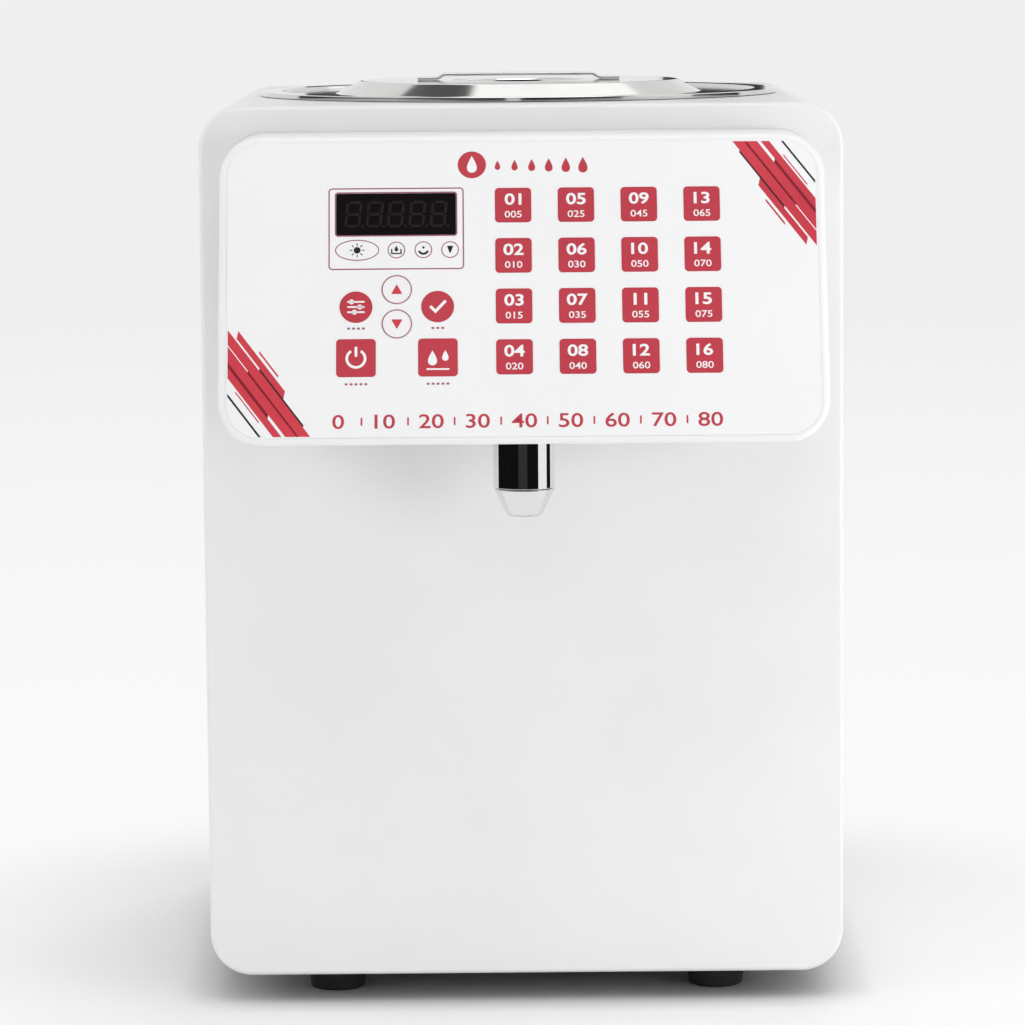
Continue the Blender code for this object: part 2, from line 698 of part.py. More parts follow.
def head_prism(name, inset, back_y):
    """The head's block: a rounded outline drawn forward from back_y to the leaning face,
    taken in by inset on every side."""
    width = HEAD_WIDTH - 2 * inset
    height = HEAD_HEIGHT - 2 * inset
    outline = rounded_rectangle(width, height, HEAD_CORNER_RADIUS - inset, centre=(0, PANEL_Z))
    setback = inset / math.cos(PANEL_LEAN)
    slope = math.tan(PANEL_LEAN)
    work = bmesh.new()
    face_ring = [work.verts.new((x, PANEL_Y + setback + (z - PANEL_Z) * slope, z)) for x, z in outline]
    back_ring = [work.verts.new((x, back_y, z)) for x, z in outline]
    face = work.faces.new(face_ring)
    work.faces.new(list(reversed(back_ring)))
    count = len(outline)
    for i in range(count):
        j = (i + 1) % count
        work.faces.new((face_ring[i], back_ring[i], back_ring[j], face_ring[j]))
    bmesh.ops.recalc_face_normals(work, faces=work.faces)
    if inset == 0:
        round_edges(work, list(face.edges), HEAD_EDGE, HEAD_EDGE_STEPS)
    return smooth(mesh_from_bmesh(work, name))


def key_places():
    """Each key's name, kind and place (x, v) on the panel."""
    places = []
    for row in range(DOSE_ROWS):
        for column in range(DOSE_COLUMNS):
            x = DOSE_GRID_X + (column - (DOSE_COLUMNS - 1) / 2) * DOSE_PITCH_X
            v = DOSE_GRID_V - (row - (DOSE_ROWS - 1) / 2) * DOSE_PITCH_V
            places.append((f"dose_key_{column + 1}_{row + 1}", "dose", (x, v)))
    third_row = DOSE_GRID_V - DOSE_PITCH_V / 2
    fourth_row = third_row - DOSE_PITCH_V
    middle = (FUNCTION_LEFT_X + FUNCTION_RIGHT_X) / 2
    places.append(("set_key", "round", (FUNCTION_LEFT_X, third_row)))
    places.append(("save_key", "round", (FUNCTION_RIGHT_X, third_row)))
    places.append(("up_key", "arrow", (middle, third_row + ARROW_SPREAD / 2)))
    places.append(("down_key", "arrow", (middle, third_row - ARROW_SPREAD / 2)))
    places.append(("power_key", "wide", (FUNCTION_LEFT_X, fourth_row)))
    places.append(("pump_key", "wide", (FUNCTION_RIGHT_X, fourth_row)))
    return places


def key_outline(kind, grow=0, centre=(0, 0)):
    if kind == "round":
        return circle(ROUND_KEY_RADIUS + grow, centre=centre)
    if kind == "arrow":
        return circle(ARROW_KEY_RADIUS + grow, centre=centre)
    size = (DOSE_KEY_SIZE if kind == "dose" else WIDE_KEY_SIZE) + 2 * grow
    return rounded_rectangle(size, size, DOSE_KEY_CORNER + grow, SMALL_CORNER_STEPS, centre)


def make_panel_frame():
    """An empty on the leaning face: its X runs across, its Y up the slope, its Z outward."""
    frame = bpy.data.objects.new("panel_frame", None)
    PARTS.objects.link(frame)
    place(frame, (0, PANEL_Y, PANEL_Z), (math.pi / 2 - PANEL_LEAN, 0, 0), None)
    return frame


def boss_places():
    edge_x = KEYPAD_BOARD_WIDTH / 2 - BOSS_INSET
    edge_v = KEYPAD_BOARD_HEIGHT / 2 - BOSS_INSET
    return [(x, v) for x in (-edge_x, BOSS_MIDDLE_X, edge_x) for v in (-edge_v, edge_v)]


def make_head(panel):
    back_y = FRONT_Y - SEAT_GAP
    head = add_part("head_shell", head_prism("head_shell", 0, back_y), WHITE_PLASTIC)
    combine(head, add_cutter("head_hollow", head_prism("head_hollow", HEAD_WALL, back_y + CUT_OVERRUN)))
    grown = 2 * SEAT_GAP
    pocket_outline = rounded_rectangle(OVERLAY_WIDTH + grown, OVERLAY_HEIGHT + grown, OVERLAY_CORNER_RADIUS)
    pocket = plate_mesh("overlay_pocket", pocket_outline, [], POCKET_DEPTH + CUT_OVERRUN, -POCKET_DEPTH)
    combine(head, add_cutter("overlay_pocket", pocket, parent=panel))
    ledge = 2 * DISPLAY_LEDGE
    size = (DISPLAY_WIDTH - ledge, DISPLAY_HEIGHT - ledge, 2 * HEAD_WALL + CUT_OVERRUN)
    display = boxes_mesh("display_opening", [(size, (DISPLAY_X, DISPLAY_V, 0))])
    combine(head, add_cutter("display_opening", display, parent=panel))
    hole_radius = KEY_STEM_RADIUS + STEM_GAP
    rods = [(hole_radius, -HEAD_WALL - CUT_OVERRUN, CUT_OVERRUN, spot) for _, _, spot in key_places()]
    combine(head, add_cutter("stem_holes", rods_mesh("stem_holes", rods), parent=panel))
    boss_top = JOIN_OVERLAP - HEAD_WALL
    bosses = [(BOSS_RADIUS, -HEAD_WALL - BOSS_HEIGHT, boss_top, spot) for spot in boss_places()]
    combine(head, add_cutter("bosses", rods_mesh("bosses", bosses), parent=panel), "UNION")
    hole_top = HEAD_BOTTOM + HEAD_WALL + CUT_OVERRUN
    hole = (NOZZLE_STEM_RADIUS + SEAT_GAP, HEAD_BOTTOM - CUT_OVERRUN, hole_top, (0, NOZZLE_Y))
    combine(head, add_cutter("nozzle_hole", rods_mesh("nozzle_hole", [hole], SMALL_ROUND_STEPS)))


def display_outline(grow):
    width = DISPLAY_WIDTH + 2 * grow
    height = DISPLAY_HEIGHT + 2 * grow
    corner = DISPLAY_CORNER_RADIUS + grow
    return rounded_rectangle(width, height, corner, SMALL_CORNER_STEPS, (DISPLAY_X, DISPLAY_V))


def make_overlay(panel):
    holes = [key_outline(kind, SLIDE_GAP, spot) for _, kind, spot in key_places()]
    holes.append(display_outline(SLIDE_GAP))
    low = SEAT_GAP - POCKET_DEPTH
    outline = rounded_rectangle(OVERLAY_WIDTH, OVERLAY_HEIGHT, OVERLAY_CORNER_RADIUS - SEAT_GAP)
    overlay = plate_mesh("graphic_overlay", outline, holes, OVERLAY_THICKNESS, low)
    add_part("graphic_overlay", overlay, OVERLAY_FILM, parent=panel)
    lens = plate_mesh("display_window", display_outline(0), [], OVERLAY_THICKNESS, low)
    add_part("display_window", lens, DARK_LENS, parent=panel)


def key_mesh(kind):
    """A thin cap with a stem that reaches its switch. Local zero is the cap's underside."""
    cap = plate_mesh(kind + "_key", key_outline(kind), [], KEY_CAP_THICKNESS, 0)
    underside = KEY_TRAVEL + KEY_STOP_GAP - POCKET_DEPTH
    switch_top = BOARD_FACE_W + SWITCH_HEIGHT
    stem_tip = switch_top + KEY_TRAVEL + KEY_STOP_GAP - underside
    carrier = add_cutter(kind + "_key_cap", cap)
    stem = rods_mesh("stem", [(KEY_STEM_RADIUS, stem_tip, KEY_CAP_THICKNESS / 2, (0, 0))])
    combine(carrier, add_cutter(kind + "_key_stem", stem), "UNION")
    mesh = settled_mesh(carrier, kind + "_key")
    bpy.data.objects.remove(carrier, do_unlink=True)
    return mesh


def make_keys(panel):
    meshes = {kind: key_mesh(kind) for kind in ("dose", "round", "arrow", "wide")}
    underside = KEY_TRAVEL + KEY_STOP_GAP - POCKET_DEPTH
    for name, kind, (x, v) in key_places():
        finish = WHITE_KEY if kind == "arrow" else RED_KEY
        add_part(name, meshes[kind], finish, (x, v, underside), parent=panel)


def make_keypad_board(panel):
    low = BOARD_FACE_W - BOARD_THICKNESS
    size = (KEYPAD_BOARD_WIDTH, KEYPAD_BOARD_HEIGHT)
    outline = rounded_rectangle(*size, KEYPAD_BOARD_CORNER, SMALL_CORNER_STEPS)
    mesh = plate_mesh("keypad_board", outline, [], BOARD_THICKNESS, low)
    board = add_part("keypad_board", mesh, BOARD_GREEN, parent=panel)
    depth = SWITCH_HEIGHT + JOIN_OVERLAP
    centre_w = BOARD_FACE_W + SWITCH_HEIGHT - depth / 2
    switches = [((SWITCH_SIZE, SWITCH_SIZE, depth), (x, v, centre_w)) for _, _, (x, v) in key_places()]
    combine(board, add_cutter("switches", boxes_mesh("switches", switches), parent=panel), "UNION")
    inset = DISPLAY_LEDGE + DIGIT_BLOCK_INSET
    block_low = BOARD_FACE_W + SEAT_GAP
    block_high = -POCKET_DEPTH - SEAT_GAP
    size = (DISPLAY_WIDTH - 2 * inset, DISPLAY_HEIGHT - 2 * inset, block_high - block_low)
    block = boxes_mesh("display_module", [(size, (DISPLAY_X, DISPLAY_V, (block_high + block_low) / 2))])
    add_part("display_module", block, BLACK_PLASTIC, parent=panel)


def make_tank():
    inner = TANK_RADIUS - TANK_WALL
    bend = (TANK_RADIUS - TANK_KNUCKLE, TANK_KNUCKLE_TOP)
    knuckle_out = arc(bend, TANK_KNUCKLE, 0, -math.pi / 2, CORNER_STEPS)
    knuckle_in = arc(bend, TANK_KNUCKLE - TANK_WALL, -math.pi / 2, 0, CORNER_STEPS)
    flange_low = TANK_FLANGE_TOP - TANK_WALL
    profile = [
        (TANK_FLANGE_RADIUS, TANK_FLANGE_TOP),
        (TANK_FLANGE_RADIUS, flange_low),
        (TANK_RADIUS, flange_low),
        *knuckle_out,
        (TANK_HOLE_RADIUS, TANK_LOW),
        (TANK_HOLE_RADIUS, TANK_LOW + TANK_WALL),
        *knuckle_in,
        (inner, TANK_FLANGE_TOP),
    ]
    middle = (0, BODY_MIDDLE_Y, 0)
    turned_part("tank", profile, STAINLESS, middle, LARGE_ROUND_STEPS)
    band_low = TANK_KNUCKLE_TOP + HEATER_RISE
    band_in = TANK_RADIUS + SEAT_GAP
    band_out = band_in + HEATER_THICKNESS
    band = [
        (band_out, band_low + HEATER_HEIGHT),
        (band_out, band_low),
        (band_in, band_low),
        (band_in, band_low + HEATER_HEIGHT),
    ]
    turned_part("heater_band", band, SILICONE, middle, LARGE_ROUND_STEPS)
    thermostat_y = BODY_MIDDLE_Y + band_out + SEAT_GAP + THERMOSTAT_DEPTH / 2
    thermostat_z = band_low + HEATER_HEIGHT / 2
    disc = rods_mesh("thermostat", [(THERMOSTAT_RADIUS, -THERMOSTAT_DEPTH / 2, THERMOSTAT_DEPTH / 2, (0, 0))])
    add_part("thermostat", smooth(disc), BLACK_PLASTIC, (0, thermostat_y, thermostat_z), TOP_TO_FRONT)


def make_tank_outlet():
    """A bulkhead spout: its collar seats under the tank floor, its spigot takes a nut inside."""
    collar_top = TANK_LOW - SEAT_GAP
    collar_low = collar_top - OUTLET_COLLAR_HEIGHT
    spigot_radius = TANK_HOLE_RADIUS - SEAT_GAP
    spigot_top = TANK_LOW + OUTLET_SPIGOT_RISE
    barb_low = collar_low - BARB_LENGTH
    profile = [
        (spigot_radius, spigot_top),
        (spigot_radius, collar_top),
        (OUTLET_COLLAR_RADIUS, collar_top),
        (OUTLET_COLLAR_RADIUS, collar_low),
        (BARB_RADIUS, collar_low),
        (BARB_RADIUS, barb_low),
        (OUTLET_BORE_RADIUS / 2, barb_low),
        (OUTLET_BORE_RADIUS / 2, collar_low),
        (OUTLET_BORE_RADIUS, collar_top),
        (OUTLET_BORE_RADIUS, spigot_top),
    ]
    middle = (0, BODY_MIDDLE_Y, 0)
    turned_part("tank_outlet", profile, STAINLESS, middle)
    cone_rise = TANK_CONE_DROP * (OUTLET_COLLAR_RADIUS - TANK_HOLE_RADIUS) / (TANK_RADIUS - TANK_KNUCKLE)
    nut_low = TANK_LOW + TANK_WALL + cone_rise + SEAT_GAP
    nut_in = spigot_radius + SEAT_GAP
    hexagon = circle(OUTLET_COLLAR_RADIUS, HEX_SIDES)
    nut = plate_mesh("outlet_nut", hexagon, [circle(nut_in)], OUTLET_NUT_HEIGHT, nut_low)
    add_part("outlet_nut", nut, STAINLESS, middle)
    return collar_low


def make_lid():
    well_top = LID_PLATEAU_TOP - LID_WELL_DEPTH
    well_floor_radius = LID_WELL_RADIUS - LID_WELL_SLOPE
    hem_low = BODY_TOP + SEAT_GAP
    top_side = [
        (0, well_top),
        (well_floor_radius, well_top),
        (LID_WELL_RADIUS, LID_PLATEAU_TOP),
        (LID_PLATEAU_RADIUS, LID_PLATEAU_TOP),
        (LID_MOAT_INNER_RADIUS, LID_MOAT_TOP),
        (LID_MOAT_OUTER_RADIUS, LID_MOAT_TOP),
        (LID_RIM_INNER_RADIUS, LID_RIM_TOP),
        (LID_RADIUS - LID_SHEET / 2, LID_RIM_TOP),
        (LID_RADIUS, LID_RIM_TOP - LID_SHEET / 2),
    ]
    under_side = [(r, z - LID_SHEET) for r, z in reversed(top_side[:-2])]
    hem = [
        (LID_RADIUS, hem_low),
        (LID_RADIUS - LID_SHEET, hem_low),
        (LID_RADIUS - LID_SHEET, LID_RIM_TOP - LID_SHEET),
    ]
    origin = (0, BODY_MIDDLE_Y, 0)
    turned_part("lid", [*top_side, *hem, *under_side], STAINLESS, origin, LARGE_ROUND_STEPS, closed=False)
    foot_z = LID_PLATEAU_TOP + SEAT_GAP
    top_z = foot_z + HANDLE_RISE - HANDLE_SHEET
    half = HANDLE_LENGTH / 2
    half_path = [(half + HANDLE_FOOT, foot_z), (half, foot_z), (half - HANDLE_SLOPE, top_z)]
    path = [*half_path, *[(-x, z) for x, z in reversed(half_path)]]
    mesh = bpy.data.meshes.new("lid_handle")
    vertices = [(x, y, z) for y in (-HANDLE_WIDTH / 2, HANDLE_WIDTH / 2) for x, z in path]
    count = len(path)
    faces = [(i, i + count, i + count + 1, i + 1) for i in range(count - 1)]
    mesh.from_pydata(vertices, [], faces)
    handle = add_part("lid_handle", mesh, STAINLESS, origin)
    sheet = handle.modifiers.new("sheet", "SOLIDIFY")
    sheet.thickness = HANDLE_SHEET
    sheet.offset = 1
    sheet.use_even_offset = True


def make_nozzle():
    stem_top = HEAD_BOTTOM + NOZZLE_STEM_LENGTH
    barb_top = stem_top + BARB_LENGTH
    pocket_top = NOZZLE_SLEEVE_LOW + NOZZLE_POCKET_DEPTH
    sleeve = [
        (BARB_RADIUS, barb_top),
        (BARB_RADIUS, stem_top),
        (NOZZLE_STEM_RADIUS, stem_top),
        (NOZZLE_STEM_RADIUS, NOZZLE_TOP),
        (NOZZLE_RADIUS, NOZZLE_TOP),
        (NOZZLE_RADIUS, NOZZLE_SLEEVE_LOW),
        (NOZZLE_POCKET_RADIUS, NOZZLE_SLEEVE_LOW),
        (NOZZLE_POCKET_RADIUS, pocket_top),
        (PORT_BORE_RADIUS, pocket_top),
        (PORT_BORE_RADIUS, barb_top),
    ]
    at = (0, NOZZLE_Y, 0)
    turned_part("nozzle_sleeve", sleeve, CHROME, at)
    tip_top = NOZZLE_SLEEVE_LOW - SEAT_GAP
    tip_low = tip_top - NOZZLE_TIP_LENGTH
    spigot_radius = NOZZLE_POCKET_RADIUS - SEAT_GAP
    spigot_top = tip_top + NOZZLE_SPIGOT_LENGTH
    tip = [
        (spigot_radius, spigot_top),
        (spigot_radius, tip_top),
        (NOZZLE_RADIUS, tip_top),
        (NOZZLE_TIP_RADIUS, tip_low + NOZZLE_TIP_EDGE),
        (NOZZLE_TIP_RADIUS - NOZZLE_TIP_EDGE, tip_low),
        (NOZZLE_BORE_RADIUS, tip_low),
        (NOZZLE_BORE_RADIUS, spigot_top),
    ]
    turned_part("nozzle_tip", tip, CHROME, at)
    valve_low = spigot_top + SEAT_GAP
    valve = [
        (spigot_radius, valve_low + VALVE_HEIGHT),
        (spigot_radius, valve_low),
        (VALVE_BORE_RADIUS, valve_low),
        (VALVE_BORE_RADIUS, valve_low + VALVE_HEIGHT),
    ]
    turned_part("nozzle_valve", valve, SILICONE, at, TINY_ROUND_STEPS)
    nut_low = HEAD_BOTTOM + HEAD_WALL + SEAT_GAP
    nut_hole = circle(NOZZLE_STEM_RADIUS + SEAT_GAP)
    hexagon = circle(NOZZLE_NUT_RADIUS, HEX_SIDES)
    nut = plate_mesh("nozzle_nut", hexagon, [nut_hole], NOZZLE_NUT_HEIGHT, nut_low)
    add_part("nozzle_nut", nut, BRASS, at)
    return stem_top


def involute_point(base_radius, radius, offset):
    """The point of the involute off base_radius at a radius, turned by offset."""
    roll = math.sqrt(max((radius / base_radius) ** 2 - 1, 0))
    angle = roll - math.atan(roll) + offset
    return (radius * math.cos(angle), radius * math.sin(angle))


def gear_outline(phase):
    """Outline of an involute gear, its first tooth centred on the angle phase."""
    base = GEAR_PITCH_RADIUS * math.cos(GEAR_PRESSURE_ANGLE)
    root = GEAR_PITCH_RADIUS - GEAR_DEDENDUM_SHARE * GEAR_MODULE
    half_tooth = math.pi / (2 * GEAR_TEETH) - GEAR_BACKLASH / (2 * GEAR_PITCH_RADIUS)
    half_at_base = half_tooth + math.tan(GEAR_PRESSURE_ANGLE) - GEAR_PRESSURE_ANGLE
    flank_steps = 2
    flank = []
    for i in range(flank_steps + 1):
        radius = base + (GEAR_TIP_RADIUS - base) * i / flank_steps
        flank.append(involute_point(base, radius, -half_at_base))
    flank.insert(0, (root * math.cos(-half_at_base), root * math.sin(-half_at_base)))
    tooth = [*flank, *[(x, -y) for x, y in reversed(flank)]]
    outline = []
    for k in range(GEAR_TEETH):
        turn = phase + 2 * math.pi * k / GEAR_TEETH
        across, along = math.cos(turn), math.sin(turn)
        outline += [(x * across - y * along, x * along + y * across) for x, y in tooth]
    return outline


def make_gear(name, axis_z, phase, shaft_low, shaft_high):
    """A gear with its shaft. Local Z points towards -Y, and local zero is the gear's rear face."""
    wheel = plate_mesh(name, gear_outline(phase), [], GEAR_WIDTH, 0)
    rear_y = GEAR_FRONT_Y + GEAR_WIDTH
    gear = add_part(name, wheel, STAINLESS, (0, rear_y, axis_z), TOP_TO_FRONT)
    shaft = rods_mesh(name + "_shaft", [(SHAFT_RADIUS, shaft_low, shaft_high, (0, 0))], SMALL_ROUND_STEPS)
    combine(gear, add_cutter(name + "_shaft", shaft, (0, rear_y, axis_z), TOP_TO_FRONT), "UNION")


def make_pump():
    driven_z = PUMP_AXIS_Z + GEAR_CENTRES
    outline = rounded_rectangle(PUMP_WIDTH, PUMP_HEIGHT, PUMP_CORNER, SMALL_CORNER_STEPS)
    middle_y = (HOUSING_FRONT_Y + HOUSING_BACK_Y) / 2
    block = plate_mesh("pump_housing", outline, [], HOUSING_DEPTH)
    housing = add_part("pump_housing", block, ALUMINIUM, (0, middle_y, PORT_Z), TOP_TO_FRONT)
    reach = PUMP_WIDTH / 2 + PORT_COLLAR_LENGTH + BARB_LENGTH
    collar = PUMP_WIDTH / 2 + PORT_COLLAR_LENGTH
    ports = [("port_collars", PORT_COLLAR_RADIUS, collar), ("port_barbs", BARB_RADIUS, reach)]
    for label, radius, end in ports:
        rod = rods_mesh(label, [(radius, -end, end, (0, 0))], TINY_ROUND_STEPS)
        combine(housing, add_cutter(label, rod, (0, middle_y, PORT_Z), TOP_TO_RIGHT), "UNION")
    chamber_radius = GEAR_TIP_RADIUS + GEAR_SIDE_GAP
    chamber_depth = GEAR_WIDTH + 2 * GEAR_SIDE_GAP
    chamber_low = -chamber_depth
    for label, z in (("drive_chamber", PUMP_AXIS_Z), ("driven_chamber", driven_z)):
        chamber = rods_mesh(label, [(chamber_radius, chamber_low, CUT_OVERRUN, (0, 0))], CHAMBER_STEPS)
        combine(housing, add_cutter(label, chamber, (0, HOUSING_FRONT_Y, z), TOP_TO_FRONT))
    bore = rods_mesh("port_bore", [(PORT_BORE_RADIUS, -reach - CUT_OVERRUN, reach + CUT_OVERRUN, (0, 0))])
    combine(housing, add_cutter("port_bore", bore, (0, middle_y, PORT_Z), TOP_TO_RIGHT))
    bearing = SHAFT_RADIUS + SEAT_GAP
    through = PUMP_BACK_WALL + 2 * CUT_OVERRUN
    drive_hole = rods_mesh("drive_hole", [(bearing, -through, CUT_OVERRUN, (0, 0))], SMALL_ROUND_STEPS)
    chamber_floor_y = HOUSING_FRONT_Y + chamber_depth
    combine(housing, add_cutter("drive_hole", drive_hole, (0, chamber_floor_y, PUMP_AXIS_Z), TOP_TO_FRONT))
    stub_depth = SHAFT_STUB + SEAT_GAP + GEAR_SIDE_GAP
    stub_hole = rods_mesh("driven_hole", [(bearing, -stub_depth, CUT_OVERRUN, (0, 0))], SMALL_ROUND_STEPS)
    combine(housing, add_cutter("driven_hole", stub_hole, (0, chamber_floor_y, driven_z), TOP_TO_FRONT))
    cover_middle = PUMP_FRONT_Y + PUMP_COVER_THICKNESS / 2
    plate = plate_mesh("pump_cover", outline, [], PUMP_COVER_THICKNESS)
    cover = add_part("pump_cover", plate, ALUMINIUM, (0, cover_middle, PORT_Z), TOP_TO_FRONT)
    cover_back_y = PUMP_FRONT_Y + PUMP_COVER_THICKNESS
    for label, z in (("cover_drive_hole", PUMP_AXIS_Z), ("cover_driven_hole", driven_z)):
        hole = rods_mesh(label, [(bearing, -CUT_OVERRUN, stub_depth, (0, 0))], SMALL_ROUND_STEPS)
        combine(cover, add_cutter(label, hole, (0, cover_back_y, z), TOP_TO_FRONT))
    stub_top = GEAR_WIDTH + SHAFT_STUB
    half_pitch = math.pi / GEAR_TEETH
    make_gear("drive_gear", PUMP_AXIS_Z, math.pi / 2, -DRIVE_SHAFT_TAIL, stub_top)
    make_gear("driven_gear", driven_z, -math.pi / 2 + half_pitch, -SHAFT_STUB, stub_top)
    return middle_y, reach


def make_bracket_and_motor():
    """The bracket's side outline is an L that is drawn out across X."""
    low = BASE_TOP + SEAT_GAP
    outline = [
        (0, 0),
        (BRACKET_FOOT, 0),
        (BRACKET_FOOT, BRACKET_SHEET),
        (BRACKET_SHEET, BRACKET_SHEET),
        (BRACKET_SHEET, BRACKET_HEIGHT),
        (0, BRACKET_HEIGHT),
    ]
    mesh = plate_mesh("pump_bracket", outline, [], BRACKET_WIDTH)
    sideways = (math.pi / 2, 0, math.pi / 2)
    bracket = add_part("pump_bracket", mesh, STAINLESS, (0, BRACKET_FRONT_Y, low), sideways)
    bore = (BRACKET_BORE_RADIUS, -CUT_OVERRUN - BRACKET_SHEET, CUT_OVERRUN, (0, 0))
    hole = rods_mesh("bracket_bore", [bore])
    combine(bracket, add_cutter("bracket_bore", hole, (0, BRACKET_FRONT_Y, PUMP_AXIS_Z), TOP_TO_FRONT))
    gear_rear_y = GEAR_FRONT_Y + GEAR_WIDTH
    socket_depth = gear_rear_y + DRIVE_SHAFT_TAIL + SEAT_GAP - MOTOR_FRONT_Y
    socket_radius = SHAFT_RADIUS + SEAT_GAP
    body = MOTOR_RADIUS
    groove_top = -GEARBOX_LENGTH
    groove_low = groove_top - GEARBOX_GROOVE * 2
    profile = [
        (0, -socket_depth),
        (socket_radius, -socket_depth),
        (socket_radius, MOTOR_BOSS_LENGTH),
        (MOTOR_BOSS_RADIUS, MOTOR_BOSS_LENGTH),
        (MOTOR_BOSS_RADIUS, 0),
        (body - MOTOR_EDGE, 0),
        (body, -MOTOR_EDGE),
        (body, groove_top),
        (body - GEARBOX_GROOVE, groove_top),
        (body - GEARBOX_GROOVE, groove_low),
        (body, groove_low),
        (body, MOTOR_EDGE - MOTOR_LENGTH),
        (body - MOTOR_EDGE, -MOTOR_LENGTH),
        (MOTOR_REAR_RADIUS, -MOTOR_LENGTH),
        (MOTOR_REAR_RADIUS, -MOTOR_LENGTH - MOTOR_REAR_LENGTH),
        (0, -MOTOR_LENGTH - MOTOR_REAR_LENGTH),
    ]
    at = (0, MOTOR_FRONT_Y, PUMP_AXIS_Z)
    turned_part("gear_motor", profile, STAINLESS, at, closed=False, rotation=TOP_TO_FRONT)


def make_hoses(outlet_low, nozzle_stem_top, pump_middle_y, port_reach):
    collar_end = port_reach - BARB_LENGTH + SEAT_GAP
    suction = [
        (0, BODY_MIDDLE_Y, outlet_low - SEAT_GAP),
        (0, BODY_MIDDLE_Y, outlet_low - SEAT_GAP - BARB_LENGTH),
        *route_points(SUCTION_ROUTE_SHARES),
        (port_reach, pump_middle_y, PORT_Z),
        (collar_end, pump_middle_y, PORT_Z),
    ]
    delivery = [
        (-collar_end, pump_middle_y, PORT_Z),
        (-port_reach, pump_middle_y, PORT_Z),
        *route_points(DELIVERY_ROUTE_SHARES),
        (0, NOZZLE_Y, nozzle_stem_top + BARB_LENGTH),
        (0, NOZZLE_Y, nozzle_stem_top + SEAT_GAP),
    ]
    for name, route in (("suction_hose", suction), ("delivery_hose", delivery)):
        curve = tube_curve(name, smooth_route(route, HOSE_STEPS_PER_RUN), HOSE_RADIUS, False)
        mesh = welded_curve(curve, name)
        hose = add_part(name, smooth(mesh), SILICONE)
        wall = hose.modifiers.new("wall", "SOLIDIFY")
        wall.thickness = HOSE_WALL
        wall.offset = -1


def make_display_cable(panel):
    """A loom from the control board's plug up into the head, ending behind the keypad board."""
    bpy.context.view_layer.update()
    back_w = BOARD_FACE_W - BOARD_THICKNESS - SEAT_GAP - CABLE_RADIUS
    end = panel.matrix_world @ Vector((CABLE_END_X, CABLE_END_V, back_w))
    lead = panel.matrix_world @ Vector((CABLE_END_X + CABLE_LEAD, CABLE_END_V, back_w))
    (_, depth_share, _), (x_share, y_share) = CONTROL_CHIP_SHARES[-1]
    start_x = CONTROL_X + x_share * CONTROL_WIDTH
    start_y = CONTROL_Y + (y_share - depth_share / 2) * CONTROL_DEPTH - SEAT_GAP
    start_z = control_board_top() + 2 * CABLE_RADIUS
    start = (start_x, start_y, start_z)
    plug_lead = (start_x, start_y - CABLE_LEAD, start_z)
    route = smooth_route([start, plug_lead, *route_points(CABLE_ROUTE_SHARES), lead, end], HOSE_STEPS_PER_RUN)
    curve = tube_curve("display_cable", route, CABLE_RADIUS, True)
    add_part("display_cable", smooth(welded_curve(curve, "display_cable")), BLACK_PLASTIC)


def control_board_top():
    return BASE_TOP + SEAT_GAP + STANDOFF_HEIGHT + BOARD_THICKNESS


def make_base_and_boards():
    low = INNER_FLOOR + SEAT_GAP
    outline = rounded_rectangle(BASE_WIDTH, BASE_DEPTH, BASE_CORNER, SMALL_CORNER_STEPS)
    plate = plate_mesh("base_plate", outline, [], BASE_SHEET, low)
    add_part("base_plate", plate, STAINLESS, (0, BODY_MIDDLE_Y, 0))
    seat = BASE_TOP + SEAT_GAP
    case_size = (SUPPLY_WIDTH, SUPPLY_DEPTH, SUPPLY_HEIGHT)
    case = boxes_mesh("power_supply", [(case_size, (0, 0, SUPPLY_HEIGHT / 2))])
    supply = add_part("power_supply", case, ALUMINIUM, (SUPPLY_X, SUPPLY_Y, seat))
    edge = supply.modifiers.new("edge", "BEVEL")
    edge.width = SUPPLY_EDGE
    edge.segments = 1
    board_outline = rounded_rectangle(CONTROL_WIDTH, CONTROL_DEPTH, STANDOFF_RADIUS, SMALL_CORNER_STEPS)
    at = (CONTROL_X, CONTROL_Y, seat)
    mesh = plate_mesh("control_board", board_outline, [], BOARD_THICKNESS, STANDOFF_HEIGHT)
    board = add_part("control_board", mesh, BOARD_GREEN, at)
    post_x = CONTROL_WIDTH / 2 - STANDOFF_INSET
    post_y = CONTROL_DEPTH / 2 - STANDOFF_INSET
    spots = [(x, y) for x in (-post_x, post_x) for y in (-post_y, post_y)]
    posts = [(STANDOFF_RADIUS, 0, STANDOFF_HEIGHT + JOIN_OVERLAP, spot) for spot in spots]
    combine(board, add_cutter("control_posts", rods_mesh("control_posts", posts), at), "UNION")
    top = STANDOFF_HEIGHT + BOARD_THICKNESS
    chips = []
    for (width_share, depth_share, height_share), (x_share, y_share) in CONTROL_CHIP_SHARES:
        size = (width_share * CONTROL_WIDTH, depth_share * CONTROL_DEPTH, height_share * CHIP_HEIGHT)
        centre_z = top + size[2] / 2 - JOIN_OVERLAP
        centre = (x_share * CONTROL_WIDTH, y_share * CONTROL_DEPTH, centre_z)
        chips.append((size, centre))
    combine(board, add_cutter("control_chips", boxes_mesh("control_chips", chips), at), "UNION")


